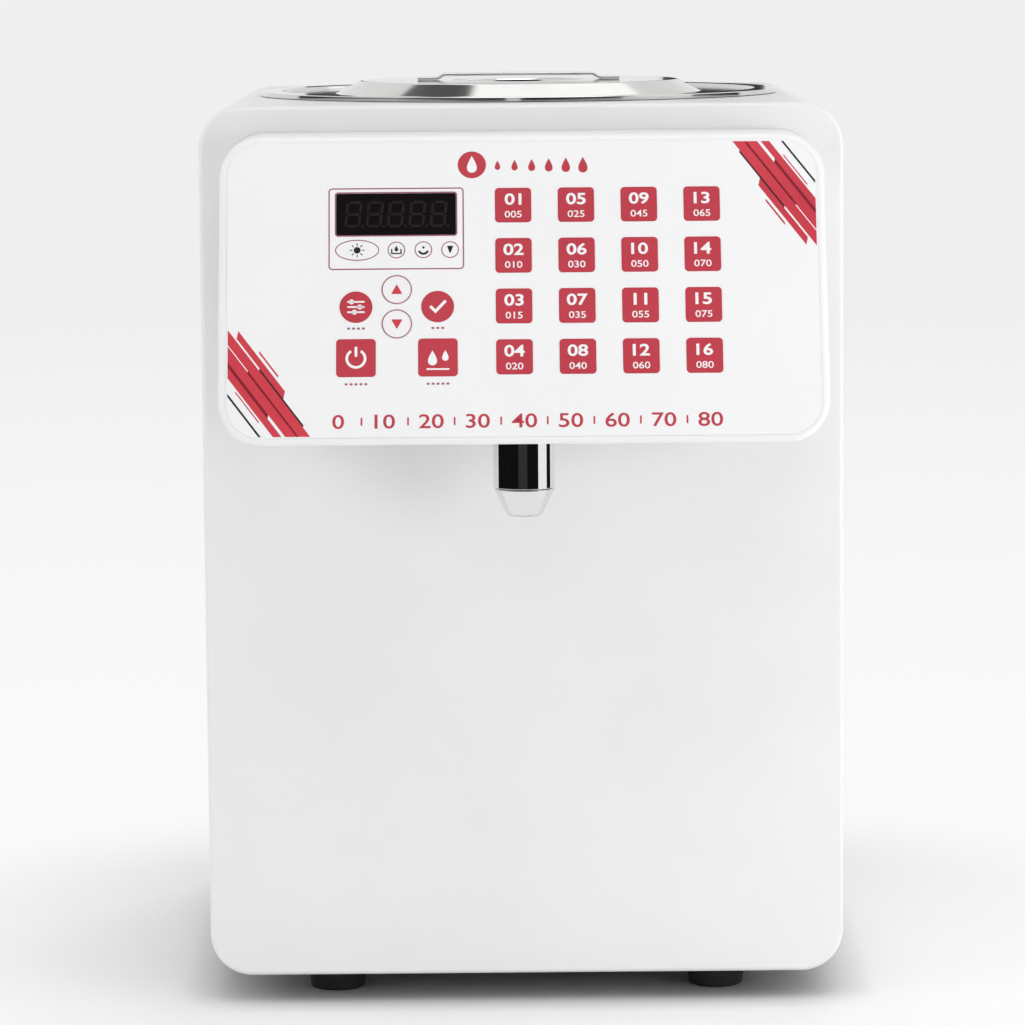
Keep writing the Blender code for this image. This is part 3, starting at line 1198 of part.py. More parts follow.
def make_rear():
    clear = 2 * (BODY_WALL + SEAT_GAP)
    outline = rounded_rectangle(BODY_WIDTH - clear, BODY_HEIGHT - clear, BODY_CORNER_RADIUS - clear / 2)
    middle_z = (BODY_TOP + BODY_BOTTOM) / 2
    holes = []
    for i in range(VENT_COUNT):
        x = (i - (VENT_COUNT - 1) / 2) * VENT_PITCH
        centre = (x, VENT_Z - middle_z)
        holes.append(slot(VENT_WIDTH, VENT_LENGTH, centre))
    inlet_cut = (INLET_WIDTH + 2 * SEAT_GAP, INLET_HEIGHT + 2 * SEAT_GAP)
    inlet_middle = (-INLET_X, INLET_Z - middle_z)
    holes.append(rounded_rectangle(*inlet_cut, INLET_CORNER, SMALL_CORNER_STEPS, inlet_middle))
    rocker_cut = (ROCKER_HOUSING_WIDTH + 2 * SEAT_GAP, ROCKER_HOUSING_HEIGHT + 2 * SEAT_GAP)
    holes.append(rounded_rectangle(*rocker_cut, SEAT_GAP, 1, (-ROCKER_X, INLET_Z - middle_z)))
    mesh = plate_mesh("rear_cover", outline, holes, REAR_SHEET)
    add_part("rear_cover", mesh, WHITE_COAT, (0, REAR_FACE_Y - REAR_SHEET / 2, middle_z), TOP_TO_BACK)


def make_inlet():
    """A three-pin appliance inlet. Local Z points out of the back, and zero is the cover's face."""
    at = (INLET_X, REAR_FACE_Y, INLET_Z)
    body_outline = rounded_rectangle(INLET_WIDTH, INLET_HEIGHT, INLET_CORNER, SMALL_CORNER_STEPS)
    flange_low = SEAT_GAP
    flange_top = flange_low + INLET_FLANGE_THICKNESS
    mesh = plate_mesh("inlet_socket", body_outline, [], INLET_DEPTH + flange_top, -INLET_DEPTH)
    inlet = add_part("inlet_socket", mesh, BLACK_PLASTIC, at, TOP_TO_BACK)
    flange_outline = rounded_rectangle(INLET_FLANGE_WIDTH, INLET_FLANGE_HEIGHT, INLET_FLANGE_CORNER)
    flange = plate_mesh("inlet_flange", flange_outline, [], INLET_FLANGE_THICKNESS, flange_low)
    combine(inlet, add_cutter("inlet_flange", flange, at, TOP_TO_BACK), "UNION")
    cavity_floor = flange_top - INLET_CAVITY_DEPTH
    cavity = plate_mesh(
        "inlet_cavity",
        rounded_rectangle(INLET_CAVITY_WIDTH, INLET_CAVITY_HEIGHT, INLET_CORNER, SMALL_CORNER_STEPS),
        [],
        INLET_CAVITY_DEPTH + CUT_OVERRUN,
        cavity_floor,
    )
    combine(inlet, add_cutter("inlet_cavity", cavity, at, TOP_TO_BACK))
    size = (PIN_THICKNESS, PIN_HEIGHT, PIN_LENGTH + JOIN_OVERLAP)
    centre_w = cavity_floor + PIN_LENGTH / 2 - JOIN_OVERLAP / 2
    line_pins = [(x, -LINE_PIN_DROP) for x in (-PIN_SPACING / 2, PIN_SPACING / 2)]
    spots = [*line_pins, (0, EARTH_PIN_RISE - LINE_PIN_DROP)]
    pins = boxes_mesh("inlet_pins", [(size, (x, y, centre_w)) for x, y in spots])
    combine(inlet, add_cutter("inlet_pins", pins, at, TOP_TO_BACK), "UNION")


def make_rocker():
    """The mains rocker tilts about X in its frame. It rests with its lower half pressed in, and
    its two halves mirror each other about the line through the valley between them."""
    at = (ROCKER_X, REAR_FACE_Y, INLET_Z)
    flange_top = SEAT_GAP + ROCKER_FRAME_FLANGE
    housing_outline = rounded_rectangle(ROCKER_HOUSING_WIDTH, ROCKER_HOUSING_HEIGHT, SEAT_GAP, 1)
    depth = ROCKER_HOUSING_DEPTH + flange_top
    housing = plate_mesh("rocker_frame", housing_outline, [], depth, -ROCKER_HOUSING_DEPTH)
    frame = add_part("rocker_frame", housing, BLACK_PLASTIC, at, TOP_TO_BACK)
    flange_outline = rounded_rectangle(
        ROCKER_FRAME_WIDTH, ROCKER_FRAME_HEIGHT, ROCKER_FRAME_CORNER, SMALL_CORNER_STEPS
    )
    flange = plate_mesh("rocker_flange", flange_outline, [], ROCKER_FRAME_FLANGE, SEAT_GAP)
    combine(frame, add_cutter("rocker_flange", flange, at, TOP_TO_BACK), "UNION")
    gap = SEAT_GAP
    half_length = ROCKER_LENGTH / 2
    well_depth = half_length + ROCKER_AXIS_DEPTH + gap
    well_size = (ROCKER_WIDTH + 2 * gap, ROCKER_LENGTH + 2 * gap, well_depth + CUT_OVERRUN)
    well_middle = (0, 0, flange_top + (CUT_OVERRUN - well_depth) / 2)
    well = boxes_mesh("rocker_well", [(well_size, well_middle)])
    combine(frame, add_cutter("rocker_well", well, at, TOP_TO_BACK))
    axis_w = flange_top - ROCKER_AXIS_DEPTH
    belly = arc((0, 0), half_length, math.pi + ROCKER_TILT, 2 * math.pi - ROCKER_TILT, TINY_ROUND_STEPS)
    end_x = half_length * math.cos(ROCKER_TILT)
    end_w = ROCKER_AXIS_DEPTH - gap
    swing = 2 * ROCKER_TILT
    raised_x = end_x * math.cos(swing) - end_w * math.sin(swing)
    raised_w = end_x * math.sin(swing) + end_w * math.cos(swing)
    valley = (-end_w * math.sin(ROCKER_TILT), end_w * math.cos(ROCKER_TILT))
    outline = [*belly, (raised_x, raised_w), valley, (-end_x, end_w)]
    mesh = plate_mesh("rocker", outline, [], ROCKER_WIDTH)
    on_edge = (0, -math.pi / 2, 0)
    add_part("rocker", mesh, BLACK_PLASTIC, (ROCKER_X, REAR_FACE_Y + axis_w, INLET_Z), on_edge)


def make_dispenser():
    make_cabinet()
    make_feet()
    panel = make_panel_frame()
    make_head(panel)
    make_overlay(panel)
    make_keys(panel)
    make_keypad_board(panel)
    make_tank()
    outlet_low = make_tank_outlet()
    make_lid()
    nozzle_stem_top = make_nozzle()
    pump_middle_y, port_reach = make_pump()
    make_bracket_and_motor()
    make_hoses(outlet_low, nozzle_stem_top, pump_middle_y, port_reach)
    make_base_and_boards()
    make_display_cable(panel)
    make_rear()
    make_inlet()
    make_rocker()


make_dispenser()
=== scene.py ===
"""Countertop fructose dispenser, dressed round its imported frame. Metres, +Z up, front at -Y."""

import math

import bmesh
import bpy
import numpy as np
from mathutils import Matrix, Vector


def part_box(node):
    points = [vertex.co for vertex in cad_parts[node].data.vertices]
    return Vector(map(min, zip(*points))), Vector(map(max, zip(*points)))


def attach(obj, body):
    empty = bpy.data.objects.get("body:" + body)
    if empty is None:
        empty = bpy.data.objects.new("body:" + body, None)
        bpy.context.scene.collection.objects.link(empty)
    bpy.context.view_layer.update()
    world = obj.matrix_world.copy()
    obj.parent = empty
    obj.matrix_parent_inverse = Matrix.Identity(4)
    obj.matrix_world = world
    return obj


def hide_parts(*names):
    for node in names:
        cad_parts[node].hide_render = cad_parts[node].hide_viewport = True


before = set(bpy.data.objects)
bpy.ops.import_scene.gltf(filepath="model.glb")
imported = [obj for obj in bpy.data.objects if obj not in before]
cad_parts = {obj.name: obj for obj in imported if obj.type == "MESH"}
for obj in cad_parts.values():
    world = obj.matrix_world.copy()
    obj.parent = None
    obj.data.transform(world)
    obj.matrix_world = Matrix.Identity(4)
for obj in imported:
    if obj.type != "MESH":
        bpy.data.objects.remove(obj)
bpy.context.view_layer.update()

# Points closer than WELD are one point, and edges that bend by more than SHARP stay sharp
WELD = 2e-6
SHARP = math.radians(38)

# Cabinet and its feet
BODY_HALF_WIDTH = 0.135
BODY_LOW, BODY_TOP = 0.012, 0.382
BODY_CORNER = 0.018
BODY_EDGE = 0.002
BODY_WALL = 0.0015
FRONT_Y, REAR_Y = -0.098523, 0.181476
MOUTH_RADIUS = 0.108
WINDOW_SIZE = (0.19, 0.084, 0.008)
FOOT_ACROSS, FOOT_SETBACK = 0.082, 0.034

# Lid and tank, on one upright axis
MIDDLE_Y = 0.041477
RIM_TOP = 0.3842
PLATEAU_TOP = 0.3884
SHEET = 0.0008

# Head and its leaning panel. Sizes are width, height and corner, and heights on the panel are
# counted from its face. DISPLAY is the lens's middle, width and height.
HEAD_HALF_WIDTH = 0.124
HEAD_LOW, HEAD_TOP = 0.248, 0.371
HEAD_CORNER = 0.0175
HEAD_EDGE = 0.0026
HEAD_WALL = 0.0025
HEAD_BACK_Y = FRONT_Y - 0.0003
LEAN = math.radians(22)
PANEL_Y, PANEL_Z = -0.15748, 0.3095
FILM_SIZE = (0.2412, 0.12586, 0.0142)
FILM_LOW, FILM_TOP = -0.0003, 0.0002
POCKET_FLOOR = -0.0006
DISPLAY = (-0.0516, 0.032, 0.0488, 0.0179)
LENS_LEDGE = 0.0022
BOSSES_ACROSS, BOSSES_UP = (-0.086, -0.0185, 0.086), (-0.046, 0.046)
NOZZLE_Y = -0.14352

# Keys: a square key's side or a round key's radius, the dose keys' middle and pitches, and the
# name, kind and place of the other keys
KEY_GAP = 0.00006
CAP_LOW, CAP_TOP = -0.0001, 0.0004
STEM_RADIUS, STEM_HOLE, STEM_TIP = 0.0025, 0.0029, -0.004
KEY_SIZES = {"dose": 0.0148, "wide": 0.016, "round": 0.00665, "arrow": 0.00625}
DOSE_MIDDLE, DOSE_PITCH = (0.0348, 0.0031), (0.0257, 0.0216)
FUNCTION_KEYS = [
    ("set_key", "round", (-0.068, -0.0077)),
    ("save_key", "round", (-0.0348, -0.0077)),
    ("up_key", "arrow", (-0.0514, -0.0004)),
    ("down_key", "arrow", (-0.0514, -0.015)),
    ("power_key", "wide", (-0.068, -0.0293)),
    ("pump_key", "wide", (-0.0348, -0.0293)),
]

# Print stands PRINT proud of what carries it and reaches SINK into it. Figures are given by
# height, stretch and weight.
PRINT = 0.00003
SINK = 0.00002
DOSE_FIGURES = (0.005, 1.26, 0.022)
STEP_FIGURES = (0.0029, 1.2, 0.008)
SCALE_FIGURES = (0.006, 1.26, 0.01)
PLATE_FIGURES = (0.0034, 1.1, 0.004)

# Back: the rear cover's face and middle height, and where the inlet and the rocker sit
REAR_FACE_Y, COVER_Z = 0.17648, 0.197
INLET = (-0.075, 0.06)
ROCKER = (-0.03, 0.06)

# Camera, fitted to the photograph
EYE = (-0.01306, -2.049, 0.4477)
PITCH, YAW, ROLL = math.radians(6.939), math.radians(0.243), math.radians(-0.453)
LENS, SENSOR = 163.55, 36.0

# Studio: the backdrop's tone, the even light from all round, and what most lamps face
BACKDROP = 0.865
WORLD_FILL = 0.41
AIM = (0.0, 0.0, 0.2)

# Cards and flags that only reflections show: lowest and highest corner, and tone
CARDS = [
    ("card_front", (-1.2, -0.9, 0.0), (1.2, -0.9, 1.4), 0.006),
    ("card_left", (-1.2, -0.9, 0.0), (-1.2, 0.5, 0.7), 0.006),
    ("card_right", (1.2, -0.9, 0.0), (1.2, 0.5, 0.7), 0.006),
    ("gleam_front", (-0.09, -0.89, 0.3), (0.006, -0.89, 0.45), 0.8),
    ("gleam_low", (-0.3, -0.89, 0.0), (0.14, -0.89, 0.29), 0.035),
    ("flag_left", (-0.215, 3.1, 0.0), (-0.16, 3.1, 1.3), 0.02),
    ("flag_right", (0.178, 3.1, 0.0), (0.29, 3.1, 1.3), 0.02),
    ("flag_above", (-0.29, 0.72, 1.0), (-0.165, 0.72, 1.7), 0.09),
    ("gleam_above", (-0.155, 0.73, 1.0), (0.82, 0.73, 1.7), 1.35),
]

# Lamps: place, what they face, size, watts, and whether reflections show them
LAMPS = [
    ("right_softbox", (1.5, -0.62, 0.62), AIM, (1.2, 1.1), 4.5, True),
    ("right_low", (0.95, -1.03, 0.3), (0.0, NOZZLE_Y, 0.24), (0.5, 0.42), 3.5, False),
    ("front_fill", (-0.3, -2.4, 0.62), AIM, (2.2, 1.1), 2.1, False),
    ("left_fill", (-1.7, -0.8, 0.7), AIM, (1.2, 1.2), 11.5, False),
    ("top", (0.1, -0.6, 1.85), AIM, (1.4, 1.2), 8.8, True),
    ("rear_fill", (0.45, 2.05, 1.5), AIM, (1.4, 1.2), 16.0, False),
    ("low_strip", (0.666, -0.36, 0.235), (0.0, NOZZLE_Y, 0.235), (0.48, 0.4), 0.6, True),
]


def panel_place():
    """The leaning panel's frame: x across, y up the slope, z outward."""
    lean, rise = math.sin(LEAN), math.cos(LEAN)
    return Matrix(
        ((1, 0, 0, 0), (0, lean, -rise, PANEL_Y), (0, rise, lean, PANEL_Z), (0, 0, 0, 1)))


def back_place(x=0.0, z=0.0, depth=0.0):
    """The rear cover's frame: x runs towards -X, y up, z out of the back."""
    return Matrix(((-1, 0, 0, x), (0, 0, 1, REAR_FACE_Y + depth), (0, 1, 0, z), (0, 0, 0, 1)))


PANEL = panel_place()


# Shapes

def eased(corners, radii, steps=8, closed=True):
    """A path through corners, each rounded by its radius. A corner's arc is the rational quadratic
    curve between its two tangent points, pulled to the corner by the sine of half its angle."""
    corners = np.asarray(corners, float)
    before = np.roll(corners, 1, 0) - corners
    after = np.roll(corners, -1, 0) - corners
    before /= np.linalg.norm(before, axis=1, keepdims=True)
    after /= np.linalg.norm(after, axis=1, keepdims=True)
    half = np.arccos(np.clip((before * after).sum(1), -1, 1)) / 2
    radii = np.array(np.broadcast_to(radii, len(corners)), float)
    if not closed:
        radii[[0, -1]] = 0
        half[[0, -1]] = math.pi / 2
    reach = (radii / np.tan(half))[:, None, None]
    weight = np.sin(half)[:, None, None]
    corner = corners[:, None]
    start = corner + before[:, None] * reach
    end = corner + after[:, None] * reach
    path = conic(start, corner, end, weight, np.linspace(0, 1, steps + 1)[None, :, None])
    path = path.reshape(-1, corners.shape[1])
    return path[np.linalg.norm(path - np.roll(path, 1, 0), axis=1) > 1e-9]


def conic(start, corner, end, weight, t):
    """The rational quadratic curve: start by one minus t squared, the corner by twice its weight
    times t times one minus t, and the end by t squared, over the sum of the three."""
    pull = 2 * weight * t * (1 - t)
    return ((1 - t) ** 2 * start + pull * corner + t**2 * end) / ((1 - t) ** 2 + pull + t**2)


def rounded_box(width, height, radius, steps=10, centre=(0.0, 0.0)):
    """Anticlockwise outline of a rectangle with rounded corners."""
    x, y = width / 2, height / 2
    return eased([(x, y), (-x, y), (-x, -y), (x, -y)], radius, steps) + np.array(centre)


def ring(radius, steps=48, centre=(0.0, 0.0), squash=1.0):
    """Outline of a circle, or of an ellipse whose height is squashed."""
    angle = np.linspace(0, 2 * math.pi, steps, endpoint=False)
    circle = np.stack([radius * np.cos(angle), radius * squash * np.sin(angle)], -1)
    return circle + np.array(centre)


def drawn_in(outline, distances):
    """Copies of an outline, each moved inward along its normals by one of the distances."""
    along = np.roll(outline, -1, 0) - np.roll(outline, 1, 0)
    along /= np.linalg.norm(along, axis=1, keepdims=True)
    outward = np.stack([along[:, 1], -along[:, 0]], -1)
    return outline[None] - outward[None] * np.asarray(distances)[:, None, None]


def quarter(size, steps):
    """A quarter-round edge: how far each step is drawn in, size times one minus the sine of its
    angle, and how far it has risen, size times one minus the cosine."""
    angle = np.linspace(0, math.pi / 2, steps + 1)
    return size * (1 - np.sin(angle)), size * (1 - np.cos(angle))


def lattice(points, along=False, caps=True):
    """Quads between neighbours of a rows by columns grid whose columns close. along joins the
    last row to the first, and caps close the end rows."""
    rows, columns = points.shape[:2]
    index = np.arange(rows * columns).reshape(rows, columns)
    grid = np.hstack([index, index[:, :1]])
    if along:
        grid = np.vstack([grid, grid[:1]])
    quads = np.stack([grid[:-1, :-1], grid[:-1, 1:], grid[1:, 1:], grid[1:, :-1]], -1)
    faces = quads.reshape(-1, 4).tolist()
    if caps and not along:
        faces += [index[0][::-1].tolist(), index[-1].tolist()]
    return points.reshape(-1, 3), faces


def stacked(rings, heights):
    """Rings of plane points lifted to their heights."""
    rings = np.asarray(rings)
    lift = np.broadcast_to(np.asarray(heights)[:, None, None], (*rings.shape[:2], 1))
    return np.concatenate([rings, lift], -1)


def pad(outline, low, high, edge=0.0, steps=3):
    """A flat solid on an outline, from low to high, with a quarter-round edge at both ends."""
    inset, rise = quarter(edge, steps if edge else 0)
    rings = drawn_in(outline, np.concatenate([inset, inset[::-1]]))
    return lattice(stacked(rings, np.concatenate([low + rise, high - rise[::-1]])))


def block(size, low, high, edge=0.0, steps=3):
    """A pad on a rounded box, whose size is given as rounded_box takes it."""
    return pad(rounded_box(*size), low, high, edge, steps)


def band(outline, width, low, high):
    """A flat frame: the outline and its copy drawn in by width, from low to high."""
    rings = drawn_in(outline, [0, 0, width, width])
    return lattice(stacked(rings, [low, high, high, low]), along=True)


def turned(path, centre=(0.0, 0.0), steps=96, closed=True):
    """A path of radius and height carried round an upright axis: each point goes to radius times
    the cosine and the sine of the turn."""
    turn = np.linspace(0, 2 * math.pi, steps, endpoint=False)
    radius, height = path[:, 0], path[:, 1]
    x = centre[0] + np.outer(radius, np.cos(turn))
    y = centre[1] + np.outer(radius, np.sin(turn))
    z = np.outer(height, np.ones(steps))
    return lattice(np.stack([x, y, z], -1), along=closed, caps=False)


def softened(mesh):
    """The mesh shaded smooth up to the sharp angle."""
    mesh.shade_smooth()
    mesh.set_sharp_from_angle(angle=SHARP)
    return mesh


def shaped(name, *forms, place=None):
    """One mesh of several forms, welded, facing outward and put in place."""
    points, faces, count = [], [], 0
    for form_points, form_faces in forms:
        points.append(form_points)
        faces += [[corner + count for corner in face] for face in form_faces]
        count += len(form_points)
    mesh = bpy.data.meshes.new(name)
    mesh.from_pydata(np.vstack(points).tolist(), [], faces)
    work = bmesh.new()
    work.from_mesh(mesh)
    bmesh.ops.remove_doubles(work, verts=work.verts, dist=WELD)
    bmesh.ops.recalc_face_normals(work, faces=work.faces)
    work.to_mesh(mesh)
    work.free()
    if place is not None:
        mesh.transform(place)
    return softened(mesh)


def placed(name, data):
    """An object that holds the data, linked to the scene."""
    thing = bpy.data.objects.new(name, data)
    bpy.context.scene.collection.objects.link(thing)
    return thing


def evaluated(thing):
    """A mesh of the thing with its modifiers applied, or its curve filled."""
    graph = bpy.context.evaluated_depsgraph_get()
    return bpy.data.meshes.new_from_object(thing.evaluated_get(graph))


def carved(mesh, *forms, place=None, operation="DIFFERENCE"):
    """The mesh with the space of some forms taken out, joined on, or alone kept."""
    host, tool = placed("host", mesh), placed("tool", shaped("tool", *forms, place=place))
    cut = host.modifiers.new("cut", "BOOLEAN")
    cut.operation = operation
    cut.solver = "EXACT"
    cut.object = tool
    out = evaluated(host)
    out.name = mesh.name
    for thing in (host, tool):
        bpy.data.objects.remove(thing, do_unlink=True)
    return softened(out)


# Print

def inked(outline, under=FILM_TOP):
    """Print inside an outline, on the height that carries it."""
    return pad(outline, under - SINK, under + PRINT)


def ruled(outline, width, under=FILM_TOP):
    """A printed line of this width, along the inner side of an outline."""
    return band(outline, width, under - SINK, under + PRINT)


def figures(text, style, centre, under=FILM_TOP):
    """Numbers in print, centred on a place. Their outline is scaled to its height and stretched
    across, its upper points raised to the print's face and its lower ones sunk."""
    height, stretch, weight = style
    curve = bpy.data.curves.new("figures", "FONT")
    curve.body = text
    curve.offset = weight
    curve.extrude = 1
    curve.resolution_u = 4
    carrier = placed("figures", curve)
    mesh = evaluated(carrier)
    bpy.data.objects.remove(carrier, do_unlink=True)
    points = np.zeros(len(mesh.vertices) * 3)
    mesh.vertices.foreach_get("co", points)
    points = points.reshape(-1, 3)
    least, most = points.min(0), points.max(0)
    scale = height / (most[1] - least[1])
    centred = points[:, :2] - (least[:2] + most[:2]) / 2
    flat = centred * scale * np.array([stretch, 1]) + np.array(centre)
    lift = np.where(points[:, 2] > 0, under + PRINT, under - SINK)
    faces = [list(face.vertices) for face in mesh.polygons]
    bpy.data.meshes.remove(mesh)
    return np.column_stack([flat, lift]), faces


def droplet(width, height, centre=(0.0, 0.0)):
    """A drop: x is the sine of t times the sine of half t to the power 1.5, y is the cosine of t.
    The sines' product is scaled to give the width."""
    t = np.linspace(0, 2 * math.pi, 48, endpoint=False)
    x = -width * 0.62 * np.sin(t) * np.sin(t / 2) ** 1.5
    y = height / 2 * np.cos(t)
    return np.stack([x, y], -1) + np.array(centre)


def arc_band(radius, width, start, end, centre=(0.0, 0.0), steps=40):
    """A stroke along an arc: its outer side forward, its inner side back."""
    angle = np.linspace(start, end, steps)
    outer, inner = radius + width / 2, radius - width / 2
    ray = np.stack([np.cos(angle), np.sin(angle)], -1)
    return np.concatenate([ray * outer, ray[::-1] * inner]) + np.array(centre)


def stroke(points, width, centre=(0.0, 0.0)):
    """An open run of straight strokes: each point moved to both sides by its mitre."""
    points = np.asarray(points, float)
    step = np.diff(points, axis=0)
    step /= np.linalg.norm(step, axis=1, keepdims=True)
    side = np.stack([-step[:, 1], step[:, 0]], -1)
    first, last = np.vstack([side[:1], side]), np.vstack([side, side[-1:]])
    mitre = (first + last) / (1 + (first * last).sum(1, keepdims=True))
    shift = mitre * width / 2
    return np.concatenate([points - shift, (points + shift)[::-1]]) + np.array(centre)


# Finishes

def add_node(tree, kind, links=None, **settings):
    """A node with its settings or input values, and its inputs linked to their sources."""
    made = tree.nodes.new(kind)
    for key, value in settings.items():
        if key in made.bl_rna.properties:
            setattr(made, key, value)
        else:
            made.inputs[key.replace("_", " ")].default_value = value
    for socket, source in (links or {}).items():
        tree.links.new(source, made.inputs[socket])
    return made


class Finish:
    """A procedural material on Object coordinates, built up node by node. Its slot is kept but
    not used."""

    def __init__(self, name, slot, roughness, metallic=0.0, **constants):
        self.slot = slot
        self.made = bpy.data.materials.new(name)
        self.made.use_nodes = True
        self.tree = self.made.node_tree
        self.shader = self.tree.nodes["Principled BSDF"]
        for socket, value in {"Roughness": roughness, "Metallic": metallic, **constants}.items():
            self.shader.inputs[socket.replace("_", " ")].default_value = value
        self.where = self.node("ShaderNodeTexCoord").outputs["Object"]

    def node(self, kind, links=None, **settings):
        return add_node(self.tree, kind, links, **settings)

    def link(self, source, socket):
        self.tree.links.new(source, self.shader.inputs[socket])
        return self

    def noise(self, scale, detail=3.0, source=None):
        links = {"Vector": source or self.where}
        return self.node("ShaderNodeTexNoise", links, Scale=scale, Detail=detail).outputs["Fac"]

    def vector(self, operation, source, by=(0.0, 0.0, 0.0)):
        """A vector put through an operation with a fixed one."""
        made = self.node("ShaderNodeVectorMath", {0: source}, operation=operation)
        made.inputs[1].default_value = by
        return made.outputs["Value" if operation == "LENGTH" else "Vector"]

    def value(self, operation, first, second):
        """Two values put through an operation."""
        links = {0: first, 1: second}
        return self.node("ShaderNodeMath", links, operation=operation).outputs["Value"]

    def spread(self, factor, least, most, start=0.0, end=1.0, **settings):
        """The factor's run from start to end, carried over to least and most."""
        limits = {"From_Min": start, "From_Max": end, "To_Min": least, "To_Max": most}
        made = self.node("ShaderNodeMapRange", {"Value": factor}, **limits, **settings)
        return made.outputs["Result"]

    def colours(self, factor, first, second, span=(0.2, 0.8)):
        """The base colour runs from first to second as the factor crosses the span."""
        ramp = self.node("ShaderNodeValToRGB", {"Fac": factor})
        ramp.color_ramp.interpolation = "EASE"
        for stop, place, colour in zip(ramp.color_ramp.elements, span, (first, second)):
            stop.position = place
            stop.color = (*colour, 1.0)
        return self.link(ramp.outputs["Color"], "Base Color")

    def rough(self, factor, least, most):
        return self.link(self.spread(factor, least, most), "Roughness")

    def bump(self, factor, height, strength=1.0):
        made = self.node("ShaderNodeBump", {"Height": factor}, Distance=height, Strength=strength)
        return self.link(made.outputs["Normal"], "Normal")


def painted(name, slot, first, second, grain, height, roughness):
    """Enamel, film or moulded plastic: slow colour drift, a fine skin and uneven gloss."""
    finish = Finish(name, slot, roughness)
    finish.colours(finish.noise(14.0), first, second)
    finish.rough(finish.noise(60.0), roughness - 0.04, roughness + 0.04)
    return finish.bump(finish.noise(grain, 2.0), height)


def printed_film(name, slot, first, second, height=3e-6):
    """The matt film and the inks on it, which share its grain and gloss."""
    return painted(name, slot, first, second, 5200, height, 0.34)


def marked_metal(finish, marks, first, second, least, most, height):
    """Slow colour drift, with gloss and relief that follow the marks."""
    finish.colours(finish.noise(35.0), first, second)
    finish.rough(marks, least, most)
    return finish.bump(marks, height, 0.6)


def turned_metal(name, slot, first, second, least, most, axis_y, pitch, height):
    """Metal with marks that run round an upright axis: noise read along the distance from it."""
    finish = Finish(name, slot, least, 1.0)
    offset = finish.node("ShaderNodeMapping", {"Vector": finish.where}, Location=(0, -axis_y, 0))
    level = finish.vector("MULTIPLY", offset.outputs["Vector"], (1.0, 1.0, 0.0))
    height_above = finish.node("ShaderNodeSeparateXYZ", {"Vector": finish.where}).outputs["Z"]
    links = {"X": finish.vector("LENGTH", level), "Z": height_above}
    line = finish.node("ShaderNodeCombineXYZ", links).outputs["Vector"]
    marks = finish.noise(pitch, 4.0, line)
    return marked_metal(finish, marks, first, second, least, most, height)


def brushed_metal(name, slot, first, second, least, most, stretch, height):
    """Metal brushed one way: noise stretched along the brushing."""
    finish = Finish(name, slot, least, 1.0)
    lines = finish.node("ShaderNodeMapping", {"Vector": finish.where}, Scale=stretch)
    marks = finish.noise(1.0, 4.0, lines.outputs["Vector"])
    return marked_metal(finish, marks, first, second, least, most, height)


# Name, slot, base colour from and to, then the grain's scale and height and the gloss
WHITE_COAT = painted(
    "white_coat_enamel", "white_coat", (0.8, 0.8, 0.805), (0.83, 0.83, 0.833), 1400, 2e-5, 0.33)
WHITE_PLASTIC = painted(
    "white_moulding", "white_plastic", (0.83, 0.83, 0.835), (0.86, 0.86, 0.863), 1500, 2e-5, 0.33)
DARK_LENS = painted(
    "dark_lens_acrylic", "dark_lens", (0.006, 0.0055, 0.006), (0.01, 0.007, 0.008),
    300, 2e-6, 0.1)
UNLIT_SEGMENT = painted(
    "unlit_segments", "dark_lens", (0.016, 0.012, 0.013), (0.022, 0.015, 0.016), 900, 2e-6, 0.2)
BLACK_RUBBER = painted(
    "black_rubber_foot", "black_rubber", (0.012, 0.012, 0.012), (0.024, 0.024, 0.023),
    1800, 6e-5, 0.72)
BLACK_PLASTIC = painted(
    "black_moulding", "black_plastic", (0.016, 0.016, 0.017), (0.026, 0.026, 0.027),
    2200, 3e-5, 0.42)
SILICONE = painted(
    "silicone_milky", "silicone", (0.62, 0.62, 0.59), (0.72, 0.72, 0.69), 900, 2e-5, 0.46)
BOARD_GREEN = painted(
    "board_green_mask", "board_green", (0.015, 0.12, 0.045), (0.03, 0.18, 0.07), 1200, 3e-5, 0.36)

# Name, slot, base colour from and to, and the skin's height where it isn't plain ink's
OVERLAY_FILM = printed_film(
    "overlay_film_matt", "overlay_film", (0.85, 0.85, 0.86), (0.875, 0.875, 0.88), 4e-6)
RED_KEY = printed_film(
    "red_print_key", "red_key", (0.475, 0.036, 0.058), (0.53, 0.046, 0.07), 4e-6)
WHITE_KEY = printed_film(
    "white_print_key", "white_key", (0.84, 0.83, 0.84), (0.87, 0.86, 0.87), 4e-6)
PRINT_RED = printed_film("print_red", "red_key", (0.5, 0.032, 0.054), (0.66, 0.052, 0.076))
PRINT_DEEP = printed_film("print_deep_red", "red_key", (0.2, 0.008, 0.02), (0.26, 0.012, 0.028))
PRINT_BLACK = printed_film(
    "print_black", "black_plastic", (0.012, 0.012, 0.013), (0.02, 0.02, 0.021))
PRINT_WHITE = printed_film("print_white", "white_key", (0.86, 0.85, 0.86), (0.89, 0.88, 0.89))
PRINT_LINE = printed_film("print_line", "red_key", (0.3, 0.085, 0.115), (0.36, 0.11, 0.14))

